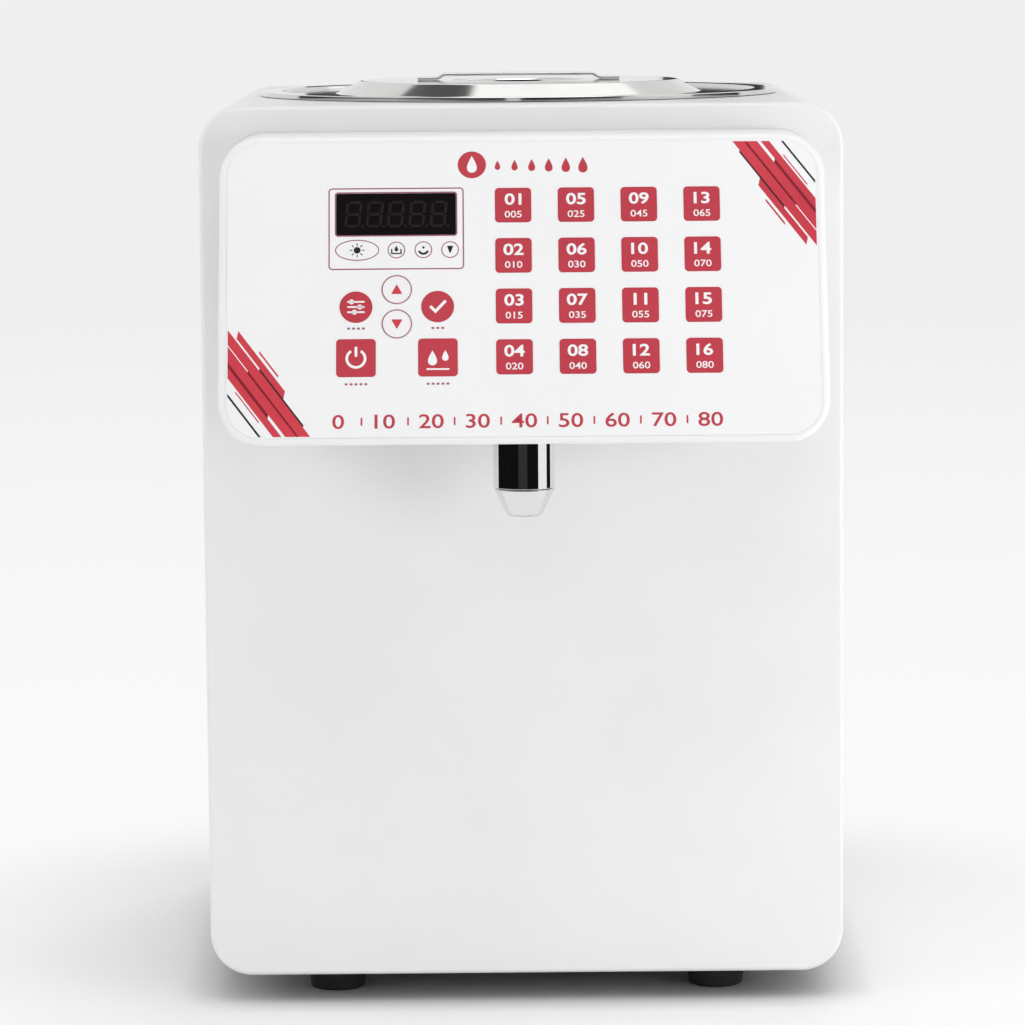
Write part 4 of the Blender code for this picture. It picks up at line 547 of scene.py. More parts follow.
# Name, slot, base colour from and to, roughness from and to, the axis or the stretch, and the
# marks' height
LID_STEEL = turned_metal(
    "lid_steel", "stainless", (0.66, 0.66, 0.64), (0.74, 0.74, 0.725), 0.07, 0.12,
    MIDDLE_Y, 2600, 4e-6)
TANK_STEEL = turned_metal(
    "tank_steel", "stainless", (0.66, 0.66, 0.645), (0.74, 0.74, 0.725), 0.3, 0.44,
    MIDDLE_Y, 2200, 6e-6)
CHROME = turned_metal(
    "nozzle_chrome", "chrome", (0.76, 0.76, 0.755), (0.82, 0.82, 0.815), 0.035, 0.075,
    NOZZLE_Y, 1500, 8e-7)
STRAP_STEEL = brushed_metal(
    "strap_steel", "stainless", (0.72, 0.72, 0.705), (0.8, 0.8, 0.785), 0.46, 0.56,
    (20, 2600, 2600), 5e-6)
SHEET_STEEL = brushed_metal(
    "sheet_steel", "stainless", (0.5, 0.5, 0.49), (0.6, 0.6, 0.585), 0.29, 0.4,
    (15, 1600, 1600), 1e-5)
ALUMINIUM = brushed_metal(
    "cast_aluminium", "aluminium", (0.52, 0.52, 0.53), (0.64, 0.64, 0.65), 0.34, 0.5,
    (420, 420, 420), 3e-5)
BRASS = brushed_metal(
    "brass_nut", "brass", (0.52, 0.36, 0.14), (0.64, 0.46, 0.2), 0.29, 0.42,
    (300, 300, 1800), 1e-5)
ZINC = brushed_metal(
    "zinc_screw", "stainless", (0.58, 0.58, 0.59), (0.68, 0.68, 0.69), 0.29, 0.4,
    (900, 900, 900), 8e-6)


# Pieces

def fit(name, mesh, finish, body="dispenser", stands_for=()):
    """A finished piece, riding on its body in place of the CAD nodes it stands for."""
    thing = placed(name, mesh)
    mesh.materials.clear()
    mesh.materials.append(finish.made)
    flats = thing.modifiers.new("flats", "WEIGHTED_NORMAL")
    flats.keep_sharp = True
    if stands_for:
        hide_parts(*stands_for)
    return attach(thing, body)


def fit_forms(name, forms, finish, body="dispenser", stands_for=(), place=PANEL):
    """Some forms as one piece, on the panel unless another place is given."""
    return fit(name, shaped(name, *forms, place=place), finish, body, stands_for)


def fit_turned(name, path, axis, steps, finish, node, body="dispenser", closed=True):
    """A profile carried round an upright axis, in place of a CAD node."""
    return fit_forms(name, [turned(path, axis, steps, closed)], finish, body, [node], None)


def dress(finish, *nodes):
    """CAD nodes that keep their shape take a finish."""
    for node in nodes:
        for material_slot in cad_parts[node].material_slots:
            material_slot.material = finish.made


# Cabinet, feet and head

def cabinet():
    """The rounded front outline in XZ drawn in by each row's inset at that row's depth: flat front,
    quarter-round edge, straight sides, rear rim, then the same again one wall further in."""
    half_height = (BODY_TOP - BODY_LOW) / 2
    outline = rounded_box(2 * BODY_HALF_WIDTH, 2 * half_height, BODY_CORNER, 20)
    outer_inset, outer_depth = quarter(BODY_EDGE, 8)
    inner_inset, inner_depth = quarter(BODY_EDGE - BODY_WALL, 8)
    inset = np.concatenate([outer_inset, [0, BODY_WALL], BODY_WALL + inner_inset[::-1]])
    length = REAR_Y - FRONT_Y
    depth = np.concatenate([outer_depth, [length, length], BODY_WALL + inner_depth[::-1]])
    rings = drawn_in(outline, inset)
    y = np.broadcast_to((FRONT_Y + depth)[:, None], rings.shape[:2])
    case = shaped("cabinet_case", lattice(
        np.stack([rings[..., 0], y, rings[..., 1] + BODY_LOW + half_height], -1)))
    mouth = pad(ring(MOUTH_RADIUS, 128, (0, MIDDLE_Y)), BODY_TOP - 0.01, BODY_TOP + 0.01)
    case = carved(case, mouth)
    front = Matrix(((1, 0, 0, 0), (0, 0, -1, FRONT_Y), (0, 1, 0, PANEL_Z), (0, 0, 0, 1)))
    case = carved(case, block(WINDOW_SIZE, -0.01, 0.01), place=front)
    fit("cabinet_case", case, WHITE_COAT, stands_for=["cabinet_shell"])


def feet():
    """Each foot is one profile carried round: a tapered side, a rounded tread and a sunk middle."""
    profile = eased(
        [(0, 0.0117), (0.0128, 0.0117), (0.0115, 0), (0.0045, 0), (0.0045, 0.005), (0, 0.005)],
        [0, 0.0006, 0.0012, 0.0005, 0.0003, 0], 6, closed=False)
    for side, x in (("left", -FOOT_ACROSS), ("right", FOOT_ACROSS)):
        for end, y in (("front", FRONT_Y + FOOT_SETBACK), ("rear", REAR_Y - FOOT_SETBACK)):
            name = f"foot_{end}_{side}"
            fit_turned(f"rubber_{name}", profile, (x, y), 64, BLACK_RUBBER, name, closed=False)


def head_rows(inset, edge, steps):
    """The head's outline drawn in by inset and laid on the leaning plane. Each row is a step of
    the conic from the side, where it starts one edge behind, to one edge inside the face."""
    half_height = (HEAD_TOP - HEAD_LOW) / 2
    size = (2 * (HEAD_HALF_WIDTH - inset), 2 * (half_height - inset))
    outline = rounded_box(*size, HEAD_CORNER - inset, 20)
    setback = inset / math.cos(LEAN)
    x, z = outline[:, 0], outline[:, 1]
    brink = np.stack([x, PANEL_Y + setback + z * math.tan(LEAN), PANEL_Z + z], -1)
    if not edge:
        return brink[None]
    along = np.roll(brink, -1, 0) - np.roll(brink, 1, 0)
    along /= np.linalg.norm(along, axis=1, keepdims=True)
    outward = np.array([0, -math.cos(LEAN), math.sin(LEAN)])
    inward = np.cross(along, outward)
    inward *= -np.sign((inward * (brink - brink.mean(0))).sum(1, keepdims=True))
    behind = edge / np.sqrt(1 - along[:, 1:2] ** 2) * np.array([0, 1, 0])
    turn = np.arccos(np.clip(inward[:, 1], -1, 1))
    weight = np.sin(turn / 2)[None, :, None]
    t = np.linspace(0, 1, steps + 1)[:, None, None]
    return conic(brink + behind, brink, brink + inward * edge, weight, t)


def key_spots():
    """Each key's name, kind and place on the panel, the dose keys row by row."""
    (x, v), (across, up) = DOSE_MIDDLE, DOSE_PITCH
    dose_keys = [
        (f"dose_key_{column + 1}_{row + 1}", "dose",
         (x + (column - 1.5) * across, v - (row - 1.5) * up))
        for row in range(4) for column in range(4)
    ]
    return dose_keys + FUNCTION_KEYS


def key_outline(kind, grow=0.0, centre=(0.0, 0.0)):
    """A key's outline, let out by grow."""
    size = KEY_SIZES[kind]
    if kind in ("round", "arrow"):
        return ring(size + grow, 64, centre)
    return rounded_box(size + 2 * grow, size + 2 * grow, 0.0016 + grow, 8, centre)


def display_outline(grow=0.0, corner=0.0008, steps=6):
    """The lens's outline, let out by grow."""
    x, v, width, height = DISPLAY
    return rounded_box(width + 2 * grow, height + 2 * grow, corner + grow, steps, (x, v))


def head():
    """The rows of the wall's inner face, back along its sides, and forward again over its outer
    face, closed at both ends. The film's pocket and the openings are cut out, the bosses added."""
    skin = head_rows(0, HEAD_EDGE, 12)
    core = head_rows(HEAD_WALL, 0, 1)
    outer_rim, inner_rim = skin[:1].copy(), core.copy()
    outer_rim[..., 1] = inner_rim[..., 1] = HEAD_BACK_Y
    mesh = shaped("head_moulding", lattice(np.concatenate([core, inner_rim, outer_rim, skin])))
    width, height, corner = FILM_SIZE
    pocket = (width + 2 * KEY_GAP, height + 2 * KEY_GAP, corner + KEY_GAP, 20)
    mesh = carved(mesh, block(pocket, POCKET_FLOOR, 0.002), place=PANEL)
    holes = [display_outline(-LENS_LEDGE, LENS_LEDGE + 0.0002, 1)]
    holes += [ring(STEM_HOLE, 24, spot) for _, _, spot in key_spots()]
    mesh = carved(mesh, *[pad(hole, -0.01, 0.002) for hole in holes], place=PANEL)
    bosses = [pad(ring(0.003, 24, (across, up)), -0.0062, -0.0021)
              for across in BOSSES_ACROSS for up in BOSSES_UP]
    mesh = carved(mesh, *bosses, place=PANEL, operation="UNION")
    hole = pad(ring(0.0083, 48, (0, NOZZLE_Y)), HEAD_LOW - 0.004, HEAD_LOW + 0.006)
    fit("head_moulding", carved(mesh, hole), WHITE_PLASTIC, stands_for=["head_shell"])


def film():
    """The keypad sheet with a hole at each key, and the lens in its window."""
    sheet = shaped("overlay_film", block((*FILM_SIZE, 20), FILM_LOW, FILM_TOP, 0.0001, 2))
    holes = [key_outline(kind, KEY_GAP, spot) for _, kind, spot in key_spots()]
    holes.append(display_outline(KEY_GAP))
    sheet = carved(sheet, *[pad(hole, -0.001, 0.001) for hole in holes])
    sheet.transform(PANEL)
    fit("overlay_film", sheet, OVERLAY_FILM, stands_for=["graphic_overlay"])
    lens = pad(display_outline(), FILM_LOW, FILM_TOP, 0.00012)
    fit_forms("display_lens", [lens], DARK_LENS, stands_for=["display_window"])


# A digit's seven segments: each one's middle, in digits across and half digits up, and whether
# it stands upright
SEGMENTS = [
    ((0, 0.98), False), ((0.5, 0.5), True), ((0.5, -0.5), True), ((0, -0.98), False),
    ((-0.5, -0.5), True), ((-0.5, 0.5), True), ((0, 0), False),
]


def digits():
    """Five unlit eights and their points, drawn just on the lens. A digit leans: each point is
    moved across by a tenth of its height."""
    x, v, width, _ = DISPLAY
    height, thick, proud = 0.0104, 0.0011, 0.00001
    long = height / 2 - thick * 0.75
    forms = []
    for digit in range(5):
        middle = x + (digit - 2) * width * 0.178
        for (across, up), upright in SEGMENTS:
            size = (thick, long) if upright else (long, thick)
            outline = rounded_box(*size, 0.0003, 2, (across * (long + thick), v + up * height / 2))
            outline[:, 0] += middle + (outline[:, 1] - v) * 0.1
            forms.append(outline)
        forms.append(ring(0.0006, 16, (middle + 0.0038, v - height / 2)))
    forms = [pad(outline, FILM_TOP - SINK, FILM_TOP + proud) for outline in forms]
    fit_forms("unlit_digits", forms, UNLIT_SEGMENT)


# Keys and print

def key_form(kind, spot):
    """A cap with a rounded rim, closed below by its stem. The stem's ring is the cap's outline
    pushed to the stem's radius."""
    outline = key_outline(kind)
    inset, fall = quarter(0.00014, 3)
    caps = drawn_in(outline, [*inset, 0])
    stem = outline / np.linalg.norm(outline, axis=1, keepdims=True) * STEM_RADIUS
    rings = np.concatenate([caps, stem[None], stem[None]]) + np.array(spot)
    return lattice(stacked(rings, [*(CAP_TOP - fall), CAP_LOW, CAP_LOW, STEM_TIP]))


def sign(name):
    """The plain sign on a function key, as outlines round the key's middle."""
    if name == "set_key":
        bars = [rounded_box(0.0072, 0.0007, 0.00034, 4, (0, v)) for v in (-0.0022, 0, 0.0022)]
        knobs = ((-0.0018, 0.0022), (0.0016, 0), (-0.0006, -0.0022))
        return bars + [ring(0.00105, 24, spot) for spot in knobs]
    if name == "save_key":
        return [stroke([(-0.003, 0.0001), (-0.0009, -0.0021), (0.0033, 0.0024)], 0.0012)]
    if name == "power_key":
        gap = math.radians(32)
        arc = arc_band(0.0037, 0.0011, math.pi / 2 + gap, math.pi * 2.5 - gap, (0, -0.0003))
        return [arc, rounded_box(0.0011, 0.0044, 0.0005, 4, (0, 0.0026))]
    if name == "pump_key":
        return [droplet(0.0042, 0.0064, (-0.0022, -0.0002)),
                droplet(0.003, 0.0046, (0.003, 0.0008)),
                rounded_box(0.0094, 0.0007, 0.00034, 4, (0, -0.005))]
    up = 1 if name == "up_key" else -1
    corners = [(-0.0023, -0.0019 * up), (0.0023, -0.0019 * up), (0, 0.0023 * up)]
    return [eased(corners if up > 0 else corners[::-1], 0.0002, 3)]


def keys():
    """Each cap with its sign. A dose key has its number over five times that number, and an arrow
    key a ring."""
    for name, kind, spot in key_spots():
        arrow = kind == "arrow"
        cap, ink = (WHITE_KEY, PRINT_RED) if arrow else (RED_KEY, PRINT_WHITE)
        fit_forms(f"cap_{name}", [key_form(kind, spot)], cap, name, [name])
        if kind == "dose":
            column, row = (int(part) for part in name.split("_")[2:])
            number = (column - 1) * 4 + row
            x, v = spot
            forms = [figures(f"{number:02d}", DOSE_FIGURES, (x, v + 0.0025), CAP_TOP),
                     figures(f"{number * 5:03d}", STEP_FIGURES, (x, v - 0.004), CAP_TOP)]
        else:
            forms = [inked(outline + np.array(spot), CAP_TOP) for outline in sign(name)]
        fit_forms(f"sign_{name}", forms, ink, name)
        if arrow:
            line = ruled(ring(0.00615, 64, spot), 0.00046, CAP_TOP)
            fit_forms(f"line_{name}", [line], PRINT_LINE, name)


# Corner bars in millimetres: the distances of a bar's two sides from the outer line towards the
# corner, where it starts and ends along that line, and its ink
BARS = [
    (-1.8, -1.1, 20.0, 33.0, "red"),
    (0.0, 2.5, 8.0, 40.0, "red"),
    (2.5, 3.2, 26.0, 56.0, "black"),
    (3.2, 6.9, -9.0, 80.0, "red"),
    (6.9, 7.7, 24.0, 80.0, "deep"),
    (7.3, 11.3, -9.0, 80.0, "red"),
    (11.3, 12.5, 6.0, 44.0, "deep"),
    (12.5, 15.3, -9.0, 80.0, "red"),
    (16.0, 16.5, 28.0, 44.0, "red"),
    (19.2, 20.0, -9.0, 80.0, "black"),
]
BAR_LINE = np.array([[-0.1205, -0.011], [-0.082, -0.063]])
BAR_SLANT = 0.9
BAR_MARGIN = 0.0006


def corner_bars():
    """Parallel bars with slanted ends, clipped where the film ends, in two opposite corners."""
    along = (BAR_LINE[1] - BAR_LINE[0]) / np.linalg.norm(BAR_LINE[1] - BAR_LINE[0])
    inward = np.array([along[1], -along[0]])
    width, height, corner = (size - share * BAR_MARGIN for size, share in zip(FILM_SIZE, (2, 2, 1)))
    inks = {"red": PRINT_RED, "deep": PRINT_DEEP, "black": PRINT_BLACK}
    for ink, finish in inks.items():
        forms = []
        for near, far, start, end, _ in [bar for bar in BARS if bar[4] == ink]:
            slant = (far - near) * BAR_SLANT
            plan = [(start, near), (end, near), (end + slant, far), (start + slant, far)]
            plan = np.array(plan) * 0.001
            left = BAR_LINE[0] + plan[:, :1] * along + plan[:, 1:] * inward
            forms += [pad(left, -0.001, 0.001), pad(-left, -0.001, 0.001)]
        limits = inked(rounded_box(width, height, corner, 20))
        mesh = carved(shaped(f"corner_bars_{ink}", *forms), limits, operation="INTERSECT")
        mesh.transform(PANEL)
        fit(f"corner_bars_{ink}", mesh, finish)


def display_signs():
    """The line round the lens and its four small signs: sun, tray, bowl and pointer."""
    v = 0.0166
    sun, tray, bowl, pointer = -0.0675, -0.0515, -0.0405, -0.0296
    frame_line = rounded_box(0.0553, 0.0351, 0.0016, 6, (-0.05155, 0.02575))
    lines = [ruled(frame_line, 0.00054), ruled(display_outline(0.0006), 0.00052)]
    lines.append(ruled(ring(0.009, 64, (sun, v), 0.5), 0.00042))
    lines += [ruled(ring(0.0036, 64, (x, v)), 0.00042) for x in (tray, bowl, pointer)]
    fit_forms("thin_lines", lines, PRINT_LINE)

    outlines = [ring(0.0014, 32, (sun, v))]
    ray = np.array([[0.0019, -0.0002], [0.003, -0.0002], [0.003, 0.0002], [0.0019, 0.0002]])
    for turn in np.arange(8) * math.pi / 4:
        spin = np.array([[math.cos(turn), math.sin(turn)], [-math.sin(turn), math.cos(turn)]])
        outlines.append(ray @ spin + np.array([sun, v]))
    walls = [(-0.0019, 0.0004), (-0.0019, -0.0015), (0.0019, -0.0015), (0.0019, 0.0004)]
    tip = [(pointer - 0.0013, v + 0.0016), (pointer, v - 0.0019), (pointer + 0.0013, v + 0.0016)]
    outlines += [
        stroke(walls, 0.00056, (tray, v)),
        droplet(0.0017, 0.0024, (tray, v + 0.0006)),
        arc_band(0.0019, 0.0009, math.radians(200), math.radians(340), (bowl, v + 0.0002)),
        ring(0.0005, 16, (bowl, v + 0.001)),
        eased(tip, 0.0002, 3),
    ]
    fit_forms("dark_signs", [inked(outline) for outline in outlines], PRINT_BLACK)


def scale_and_marks():
    """The scale from 0 to 80 with a tick between its numbers, and a row of dashes under keys."""
    pitch, v = 0.0188, -0.0562
    scale = []
    for k in range(9):
        x = (k - 4) * pitch
        scale.append(figures(str(k * 10), SCALE_FIGURES, (x, v)))
        if k < 8:
            scale.append(inked(rounded_box(0.0007, 0.0034, 0.0001, 1, (x + pitch / 2, v))))
    fit_forms("dose_scale", scale, RED_KEY)

    left, right, upper, lower = -0.068, -0.0348, -0.0168, -0.0404
    marks = []
    for key_x, mark_v, count in (
            (left, upper, 4), (right, upper, 3), (left, lower, 5), (right, lower, 5)):
        for k in range(count):
            x = key_x + (k - (count - 1) / 2) * 0.002
            marks.append(inked(rounded_box(0.0012, 0.0009, 0.0003, 3, (x, mark_v))))
    fit_forms("key_marks", marks, PRINT_LINE)


def drop_row():
    """A disc with a drop on it, and six drops of growing size beside it."""
    disc_x, disc_v = -0.0205, 0.053
    fit_forms("drop_disc", [inked(ring(0.0058, 64, (disc_x, disc_v)))], RED_KEY)
    drop = inked(droplet(0.0046, 0.0074, (disc_x, 0.0533)), FILM_TOP + PRINT)
    fit_forms("disc_drop", [drop], PRINT_WHITE)
    sizes = [(0.0026 + 0.00035 * k, -0.01 + 0.007 * k) for k in range(6)]
    drops = [inked(droplet(size, size * 1.6, (x, 0.0528))) for size, x in sizes]
    fit_forms("drop_sizes", drops, RED_KEY)


# Nozzle, lid and tank

def nozzle():
    """Sleeve and tip: closed profiles of radius and height carried round the nozzle's axis."""
    sleeve = eased(
        [(0.0032, 0.274), (0.0032, 0.262), (0.008, 0.262), (0.008, 0.2477),
         (0.01275, 0.2477), (0.01275, 0.2265), (0.0096, 0.2265), (0.0096, 0.2405),
         (0.0024, 0.2405), (0.0024, 0.274)],
        [0.0003, 0.0003, 0.0005, 0.0001, 0.0003, 0.00025, 0.0002, 0.0003, 0.0002, 0.0002], 4)
    fit_turned("chromed_sleeve", sleeve, (0, NOZZLE_Y), 128, CHROME, "nozzle_sleeve")
    tip = eased(
        [(0.0093, 0.2342), (0.0093, 0.2262), (0.01275, 0.2262), (0.0078, 0.2157),
         (0.0068, 0.2147), (0.005, 0.2147), (0.005, 0.2342)],
        [0.0003, 0.0002, 0.0004, 0.001, 0.0004, 0.0003, 0.0003], 5)
    fit_turned("chromed_tip", tip, (0, NOZZLE_Y), 128, CHROME, "nozzle_tip")


def lid():
    """The pressing's top line with its bends eased, the hem, and the top line again one sheet
    lower, carried round the lid's axis."""
    well_top, moat_top, hem = PLATEAU_TOP - 0.011, RIM_TOP - 0.0013, 0.3823
    top = [(0, well_top), (0.025, well_top), (0.029, PLATEAU_TOP), (0.0705, PLATEAU_TOP),
           (0.0815, moat_top), (0.1044, moat_top), (0.1054, RIM_TOP)]
    under = [(r, z - SHEET) for r, z in top] + [(0.114, RIM_TOP - SHEET), (0.114, hem)]
    top += [(0.1148, RIM_TOP), (0.1148, hem)]
    bends = [0, 0.0022, 0.0016, 0.004, 0.0032, 0.0006, 0.0005, 0.0005, 0]
    upper, lower = (eased(line, bends, 8, closed=False) for line in (top, under))
    path = np.concatenate([upper, lower[::-1]])
    fit_turned("pressed_lid", path, (0, MIDDLE_Y), 160, LID_STEEL, "lid", "lid", closed=False)


def handle():
    """A rounded strip section carried along the strap's bent line, whose normals turn it."""
    thick, lift, rise = 0.0012, 0.0003, 0.0029
    foot_z = PLATEAU_TOP + lift + thick / 2
    top_z = PLATEAU_TOP + lift + rise - thick / 2
    half = [(0.045, foot_z), (0.036, foot_z), (0.033, top_z)]
    line = eased(half + [(-x, z) for x, z in half[::-1]], 0.002, 8, closed=False)
    along = np.gradient(line, axis=0)
    along /= np.linalg.norm(along, axis=1, keepdims=True)
    normal = np.stack([-along[:, 1], along[:, 0]], -1)
    section = rounded_box(0.016, thick, 0.00045, 5)
    x = line[:, :1] + normal[:, :1] * section[None, :, 1]
    z = line[:, 1:] + normal[:, 1:] * section[None, :, 1]
    y = np.broadcast_to(MIDDLE_Y + section[None, :, 0], x.shape)
    strap = lattice(np.stack([x, y, z], -1))
    fit_forms("lid_strap", [strap], STRAP_STEEL, "lid", ["lid_handle"], None)


def tank():
    """Flange, straight wall, knuckle, sloped floor and the same line one sheet further in, carried
    round the tank's axis. The spout is such a profile too, and its nut a flat hexagon."""
    outer, inner = 0.1068, 0.106
    wall = eased(
        [(0.1112, 0.3831), (0.1112, 0.3823), (outer, 0.3823), (outer, 0.1501),
         (0.008, 0.1401), (0.008, 0.1409), (inner, 0.151), (inner, 0.3831)],
        [0.0003, 0.0003, 0.0004, 0.015, 0.0003, 0.0003, 0.0142, 0.001], 10)
    fit_turned("syrup_tank", wall, (0, MIDDLE_Y), 160, TANK_STEEL, "tank")
    spout = eased(
        [(0.0077, 0.1461), (0.0077, 0.1398), (0.012, 0.1398), (0.012, 0.1348),
         (0.0032, 0.1348), (0.0032, 0.1228), (0.0015, 0.1228), (0.0015, 0.1348),
         (0.003, 0.1398), (0.003, 0.1461)], 0.0002, 3)
    fit_turned("tank_spout", spout, (0, MIDDLE_Y), 64, TANK_STEEL, "tank_outlet")
    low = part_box("outlet_nut")[0].z
    nut = shaped("spout_nut", pad(eased(ring(0.012, 6), 0.0006, 4), 0, 0.003, 0.0003))
    nut = carved(nut, pad(ring(0.008, 64), -0.001, 0.004))
    nut.transform(Matrix.Translation((0, MIDDLE_Y, low)))
    fit("spout_nut", nut, TANK_STEEL, stands_for=["outlet_nut"])


# Back

def screw_head():
    """A pan head: a dome line carried round, with a cross sunk into it."""
    rise, radius = 0.0019, 0.0033
    dome = eased([(0, rise), (0.0016, rise), (radius, rise * 0.35), (radius, 0), (0, 0)],
                 [0, 0.0012, 0.0007, 0, 0], 5, closed=False)
    cross = [block((*arm, 0.0002, 2), 0.0008, 0.004)
             for arm in ((0.003, 0.0007), (0.0007, 0.003))]
    return carved(shaped("screw", turned(dome, steps=32, closed=False)), *cross)


def back():
    """The cover with nine vent slots and two openings, and the screws that hold it and the
    inlet, each turned a little further than the last."""
    cuts = [(0.0032, 0.06, 0.00159, 8, ((k - 4) * 0.0085, 0.103)) for k in range(9)]
    cuts.append((0.0281, 0.0206, 0.003, 6, (-INLET[0], INLET[1] - COVER_Z)))
    cuts.append((0.0134, 0.0196, 0.0003, 2, (-ROCKER[0], ROCKER[1] - COVER_Z)))
    cover = shaped("back_cover", block((0.2664, 0.3664, 0.0162, 16), -0.0012, 0, 0.0002, 2))
    cover = carved(cover, *[block(cut, -0.01, 0.01) for cut in cuts])
    cover.transform(back_place(z=COVER_Z))
    fit("back_cover", cover, WHITE_COAT, stands_for=["rear_cover"])

    screw_mesh = screw_head()
    on_cover = [(x, z) for x in (-0.1245, 0.1245) for z in (0.03, COVER_Z, 0.364)]
    on_cover += [(0.0, 0.366), (0.0, 0.028)]
    on_inlet = [(INLET[0] + x, INLET[1]) for x in (-0.02, 0.02)]
    screws = [(spot, 0.0, 1.0) for spot in on_cover] + [(spot, 0.0028, 0.72) for spot in on_inlet]
    for number, ((x, z), depth, size) in enumerate(screws, 1):
        screw = screw_mesh.copy()
        turn = Matrix.Rotation(0.4 * number, 4, "Z")
        screw.transform(back_place(x, z, depth) @ turn @ Matrix.Scale(size, 4))
        fit(f"back_screw_{number}", screw, ZINC)


def rating_plate():
    """A foil plate with a ruled table, bare but for plain numbers."""
    place = back_place(0.055, 0.075)
    width, height, top = 0.068, 0.04, 0.00025
    foil = block((width, height, 0.0015, 6), -SINK, top, 0.00008, 2)
    fit_forms("foil_plate", [foil], ALUMINIUM, place=place)
    ink = [ruled(rounded_box(width - 0.004, height - 0.004, 0.001, 4), 0.0003, top)]
    for v in (-0.009, 0.0, 0.009):
        ink.append(inked(rounded_box(width - 0.0046, 0.0003, 0.0001, 1, (0, v)), top))
    ink.append(inked(rounded_box(0.0003, height - 0.0046, 0.0001, 1, (0, 0)), top))
    cells = [(x, v) for v in (0.0135, 0.0045, -0.0045, -0.0135) for x in (-0.016, 0.016)]
    for number, cell in zip((230, 50, 300, 80, 16, 5, 9, 12), cells):
        ink.append(figures(str(number), PLATE_FIGURES, cell, top))
    fit_forms("plate_print", ink, PRINT_BLACK, place=place)


def set_in(name, node, at, top, edge, flange, body, cavity):
    """A fitting of the rear cover: its flange and body joined, and the cavity cut out of them.
    The body and the cavity are given by their size and lower end."""
    shell = shaped(name, block(flange, 0.0003, top, edge))
    shell = carved(shell, block(*body, 0.001), operation="UNION")
    shell = carved(shell, block(*cavity, 0.004))
    shell.transform(back_place(*at))
    fit(name, shell, BLACK_PLASTIC, stands_for=[node])


def inlet():
    """The inlet, with three blades standing in its cavity."""
    top = 0.0028
    low = top - 0.018
    set_in("inlet_shell", "inlet_socket", INLET, top, 0.0006, (0.05, 0.024, 0.01, 12),
           ((0.0275, 0.02, 0.003, 6), -0.022), ((0.024, 0.0164, 0.003, 6), low))
    pins = [block((0.002, 0.004, 0.0003, 2, spot), low - 0.0002, low + 0.015, 0.0003, 2)
            for spot in ((-0.007, -0.0015), (0.007, -0.0015), (0, 0.0025))]
    fit_forms("inlet_pins", pins, ZINC, place=back_place(*INLET))


def rocker():
    """The surround and the button, whose side is a round belly under two faces that meet in a
    valley. It is a pad laid across the tilt's axis."""
    top = 0.0023
    set_in("rocker_surround", "rocker_frame", ROCKER, top, 0.0005, (0.015, 0.021, 0.0013, 6),
           ((0.0128, 0.019, 0.0003, 2), -0.014), ((0.01, 0.0156, 0.0002, 2), top - 0.01))

    tilt, half, axis_depth = math.radians(8), 0.0075, 0.0022
    belly = np.linspace(math.pi + tilt, 2 * math.pi - tilt, 24)
    end_x, end_w = half * math.cos(tilt), axis_depth - 0.0003
    across, swing = 0.0047, 2 * tilt
    raised = (end_x * math.cos(swing) - end_w * math.sin(swing),
              end_x * math.sin(swing) + end_w * math.cos(swing))
    valley = (-end_w * math.sin(tilt), end_w * math.cos(tilt))
    belly = np.stack([half * np.cos(belly), half * np.sin(belly)], -1)
    outline = np.concatenate([belly, [raised, valley, (-end_x, end_w)]])
    axis = Matrix.Translation((ROCKER[0], REAR_FACE_Y + top - axis_depth, ROCKER[1]))
    place = axis @ Matrix.Rotation(-math.pi / 2, 4, "Y")
    button = pad(outline, -across, across, 0.0003, 3)
    fit_forms("rocker_button", [button], BLACK_PLASTIC, "rocker", ["rocker"], place)


cabinet()
feet()
head()
film()
digits()
keys()
corner_bars()
display_signs()
scale_and_marks()
drop_row()
nozzle()
lid()
handle()
tank()
back()
rating_plate()
inlet()
rocker()

dress(SILICONE, "suction_hose", "delivery_hose", "nozzle_valve", "heater_band")
dress(BLACK_PLASTIC, "thermostat", "display_module", "display_cable")
dress(BOARD_GREEN, "keypad_board", "control_board")
dress(SHEET_STEEL, "base_plate", "pump_bracket", "drive_gear", "driven_gear", "gear_motor")
dress(ALUMINIUM, "power_supply", "pump_housing", "pump_cover")
dress(BRASS, "nozzle_nut")


# Studio

def camera():
    """Rolled a little, pitched down from level and turned a little to the right."""
    roll = Matrix.Rotation(ROLL, 4, "Z")
    pitch = Matrix.Rotation(math.pi / 2 - PITCH, 4, "X")
    yaw = Matrix.Rotation(-YAW, 4, "Z")
    data = bpy.data.cameras.new("camera")
    data.lens, data.sensor_width = LENS, SENSOR
    data.clip_start, data.clip_end = 0.05, 60
    eye = placed("camera", data)
    eye.matrix_world = Matrix.Translation(EYE) @ yaw @ pitch @ roll
    bpy.context.scene.camera = eye


def lamp(name, place, target, size, watts, glossy):
    """A soft rectangle of light that the camera doesn't see."""
    data = bpy.data.lights.new(name, "AREA")
    data.shape = "RECTANGLE"
    data.size, data.size_y = size
    data.energy = watts
    made = placed(name, data)
    made.location = place
    made.rotation_euler = (Vector(target) - Vector(place)).to_track_quat("-Z", "Y").to_euler()
    made.visible_camera = False
    made.visible_glossy = glossy


def stage_plane(name, low, high, material):
    """A flat plane between two corners that share one coordinate."""
    low, high = np.array(low, float), np.array(high, float)
    corners = np.array([low, low, high, low])
    first, second = np.flatnonzero(low != high)
    corners[1, first], corners[3, second] = high[first], high[second]
    mesh = bpy.data.meshes.new(name)
    mesh.from_pydata(corners.tolist(), [], [(0, 1, 2, 3)])
    mesh.materials.append(material)
    made = placed(name, mesh)
    return made


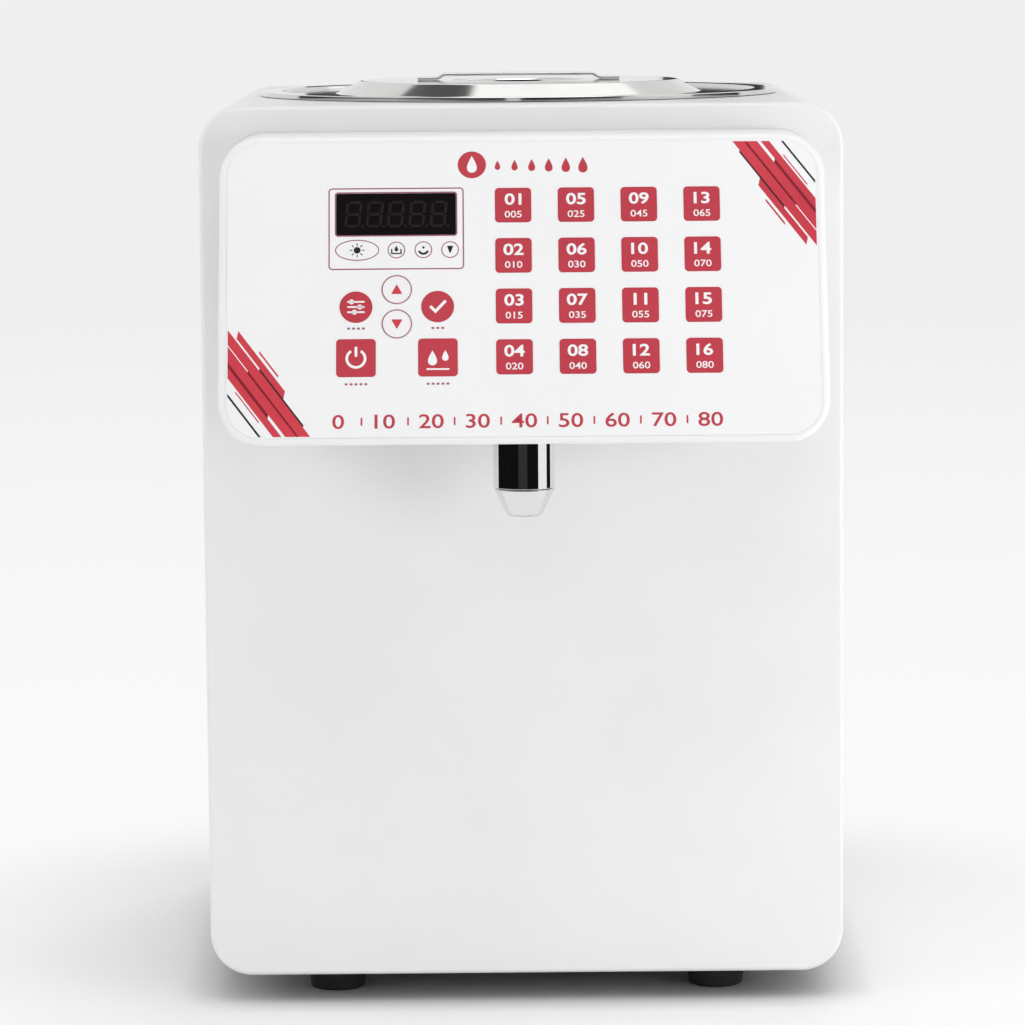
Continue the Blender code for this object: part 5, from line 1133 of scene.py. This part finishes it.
def floor_material():
    """Pale ground with painted contact shade, darker where it is closely covered, fading for rays
    that see it to a painted glow, brightest near the object, that falls to the backdrop's tone."""
    floor = Finish("pale_floor", None, 0.9, Specular_IOR_Level=0.1)
    away = floor.vector("LENGTH", floor.vector("SUBTRACT", floor.where, (0.0, MIDDLE_Y, 0.0)))
    fade = floor.spread(away, 0.0, 1.0, 0.15, 0.36, interpolation_type="SMOOTHSTEP")
    # Painted light: the floor's glow is brightest near the object and falls to the backdrop's tone
    # further off
    far = floor.spread(away, 0.955, BACKDROP, 0.5, 3.5)
    # Painted shade: ambient occlusion darkens the floor's colour where the object closely covers it
    cover = floor.node("ShaderNodeAmbientOcclusion", Distance=0.03)
    depth = floor.spread(cover.outputs["AO"], 0.42, 1.0, 0.15, 0.95)
    grain = floor.spread(floor.noise(300.0), 0.94, 0.98)
    floor.link(floor.value("MULTIPLY", depth, grain), "Base Color")
    glow = floor.node("ShaderNodeEmission", {"Strength": far})
    ray = floor.node("ShaderNodeLightPath").outputs
    seen = floor.value("MAXIMUM", ray["Is Camera Ray"], ray["Is Glossy Ray"])
    links = {0: floor.value("MULTIPLY", fade, seen), 1: floor.shader.outputs["BSDF"],
             2: glow.outputs["Emission"]}
    mixed = floor.node("ShaderNodeMixShader", links)
    surface = floor.tree.nodes["Material Output"].inputs["Surface"]
    floor.tree.links.new(mixed.outputs["Shader"], surface)
    return floor.made


def backdrop():
    """Even white light on the object. What the camera, gloss or glass sees is the backdrop."""
    world = bpy.data.worlds.new("studio")
    bpy.context.scene.world = world
    world.use_nodes = True
    tree = world.node_tree
    tree.nodes.clear()
    ray = add_node(tree, "ShaderNodeLightPath").outputs
    links = {0: ray["Is Glossy Ray"], 1: ray["Is Transmission Ray"]}
    glossy = add_node(tree, "ShaderNodeMath", links, operation="MAXIMUM")
    links = {0: ray["Is Camera Ray"], 1: glossy.outputs[0]}
    seen = add_node(tree, "ShaderNodeMath", links, operation="MAXIMUM")
    fill, shown = (
        add_node(tree, "ShaderNodeBackground", Color=(1.0, 1.0, 1.0, 1.0), Strength=strength)
        for strength in (WORLD_FILL, BACKDROP))
    links = {0: seen.outputs[0], 1: fill.outputs[0], 2: shown.outputs[0]}
    mixed = add_node(tree, "ShaderNodeMixShader", links)
    add_node(tree, "ShaderNodeOutputWorld", {0: mixed.outputs[0]})


def studio():
    """The backdrop, the floor, the cards in reflections and the lamps."""
    backdrop()
    stage_plane("floor", (-14, -14, 0), (14, 14, 0), floor_material())
    black, white = (0.0, 0.0, 0.0, 1.0), (1.0, 1.0, 1.0, 1.0)
    for name, low, high, tone in CARDS:
        surface = Finish(name, None, 1.0, Base_Color=black, Specular_IOR_Level=0.0,
                         Emission_Color=white, Emission_Strength=tone)
        card = stage_plane(name, low, high, surface.made)
        card.visible_camera = card.visible_diffuse = False
        card.visible_transmission = card.visible_shadow = False
    for row in LAMPS:
        lamp(*row)


camera()
studio()
bpy.context.scene.view_settings.view_transform = "Standard"
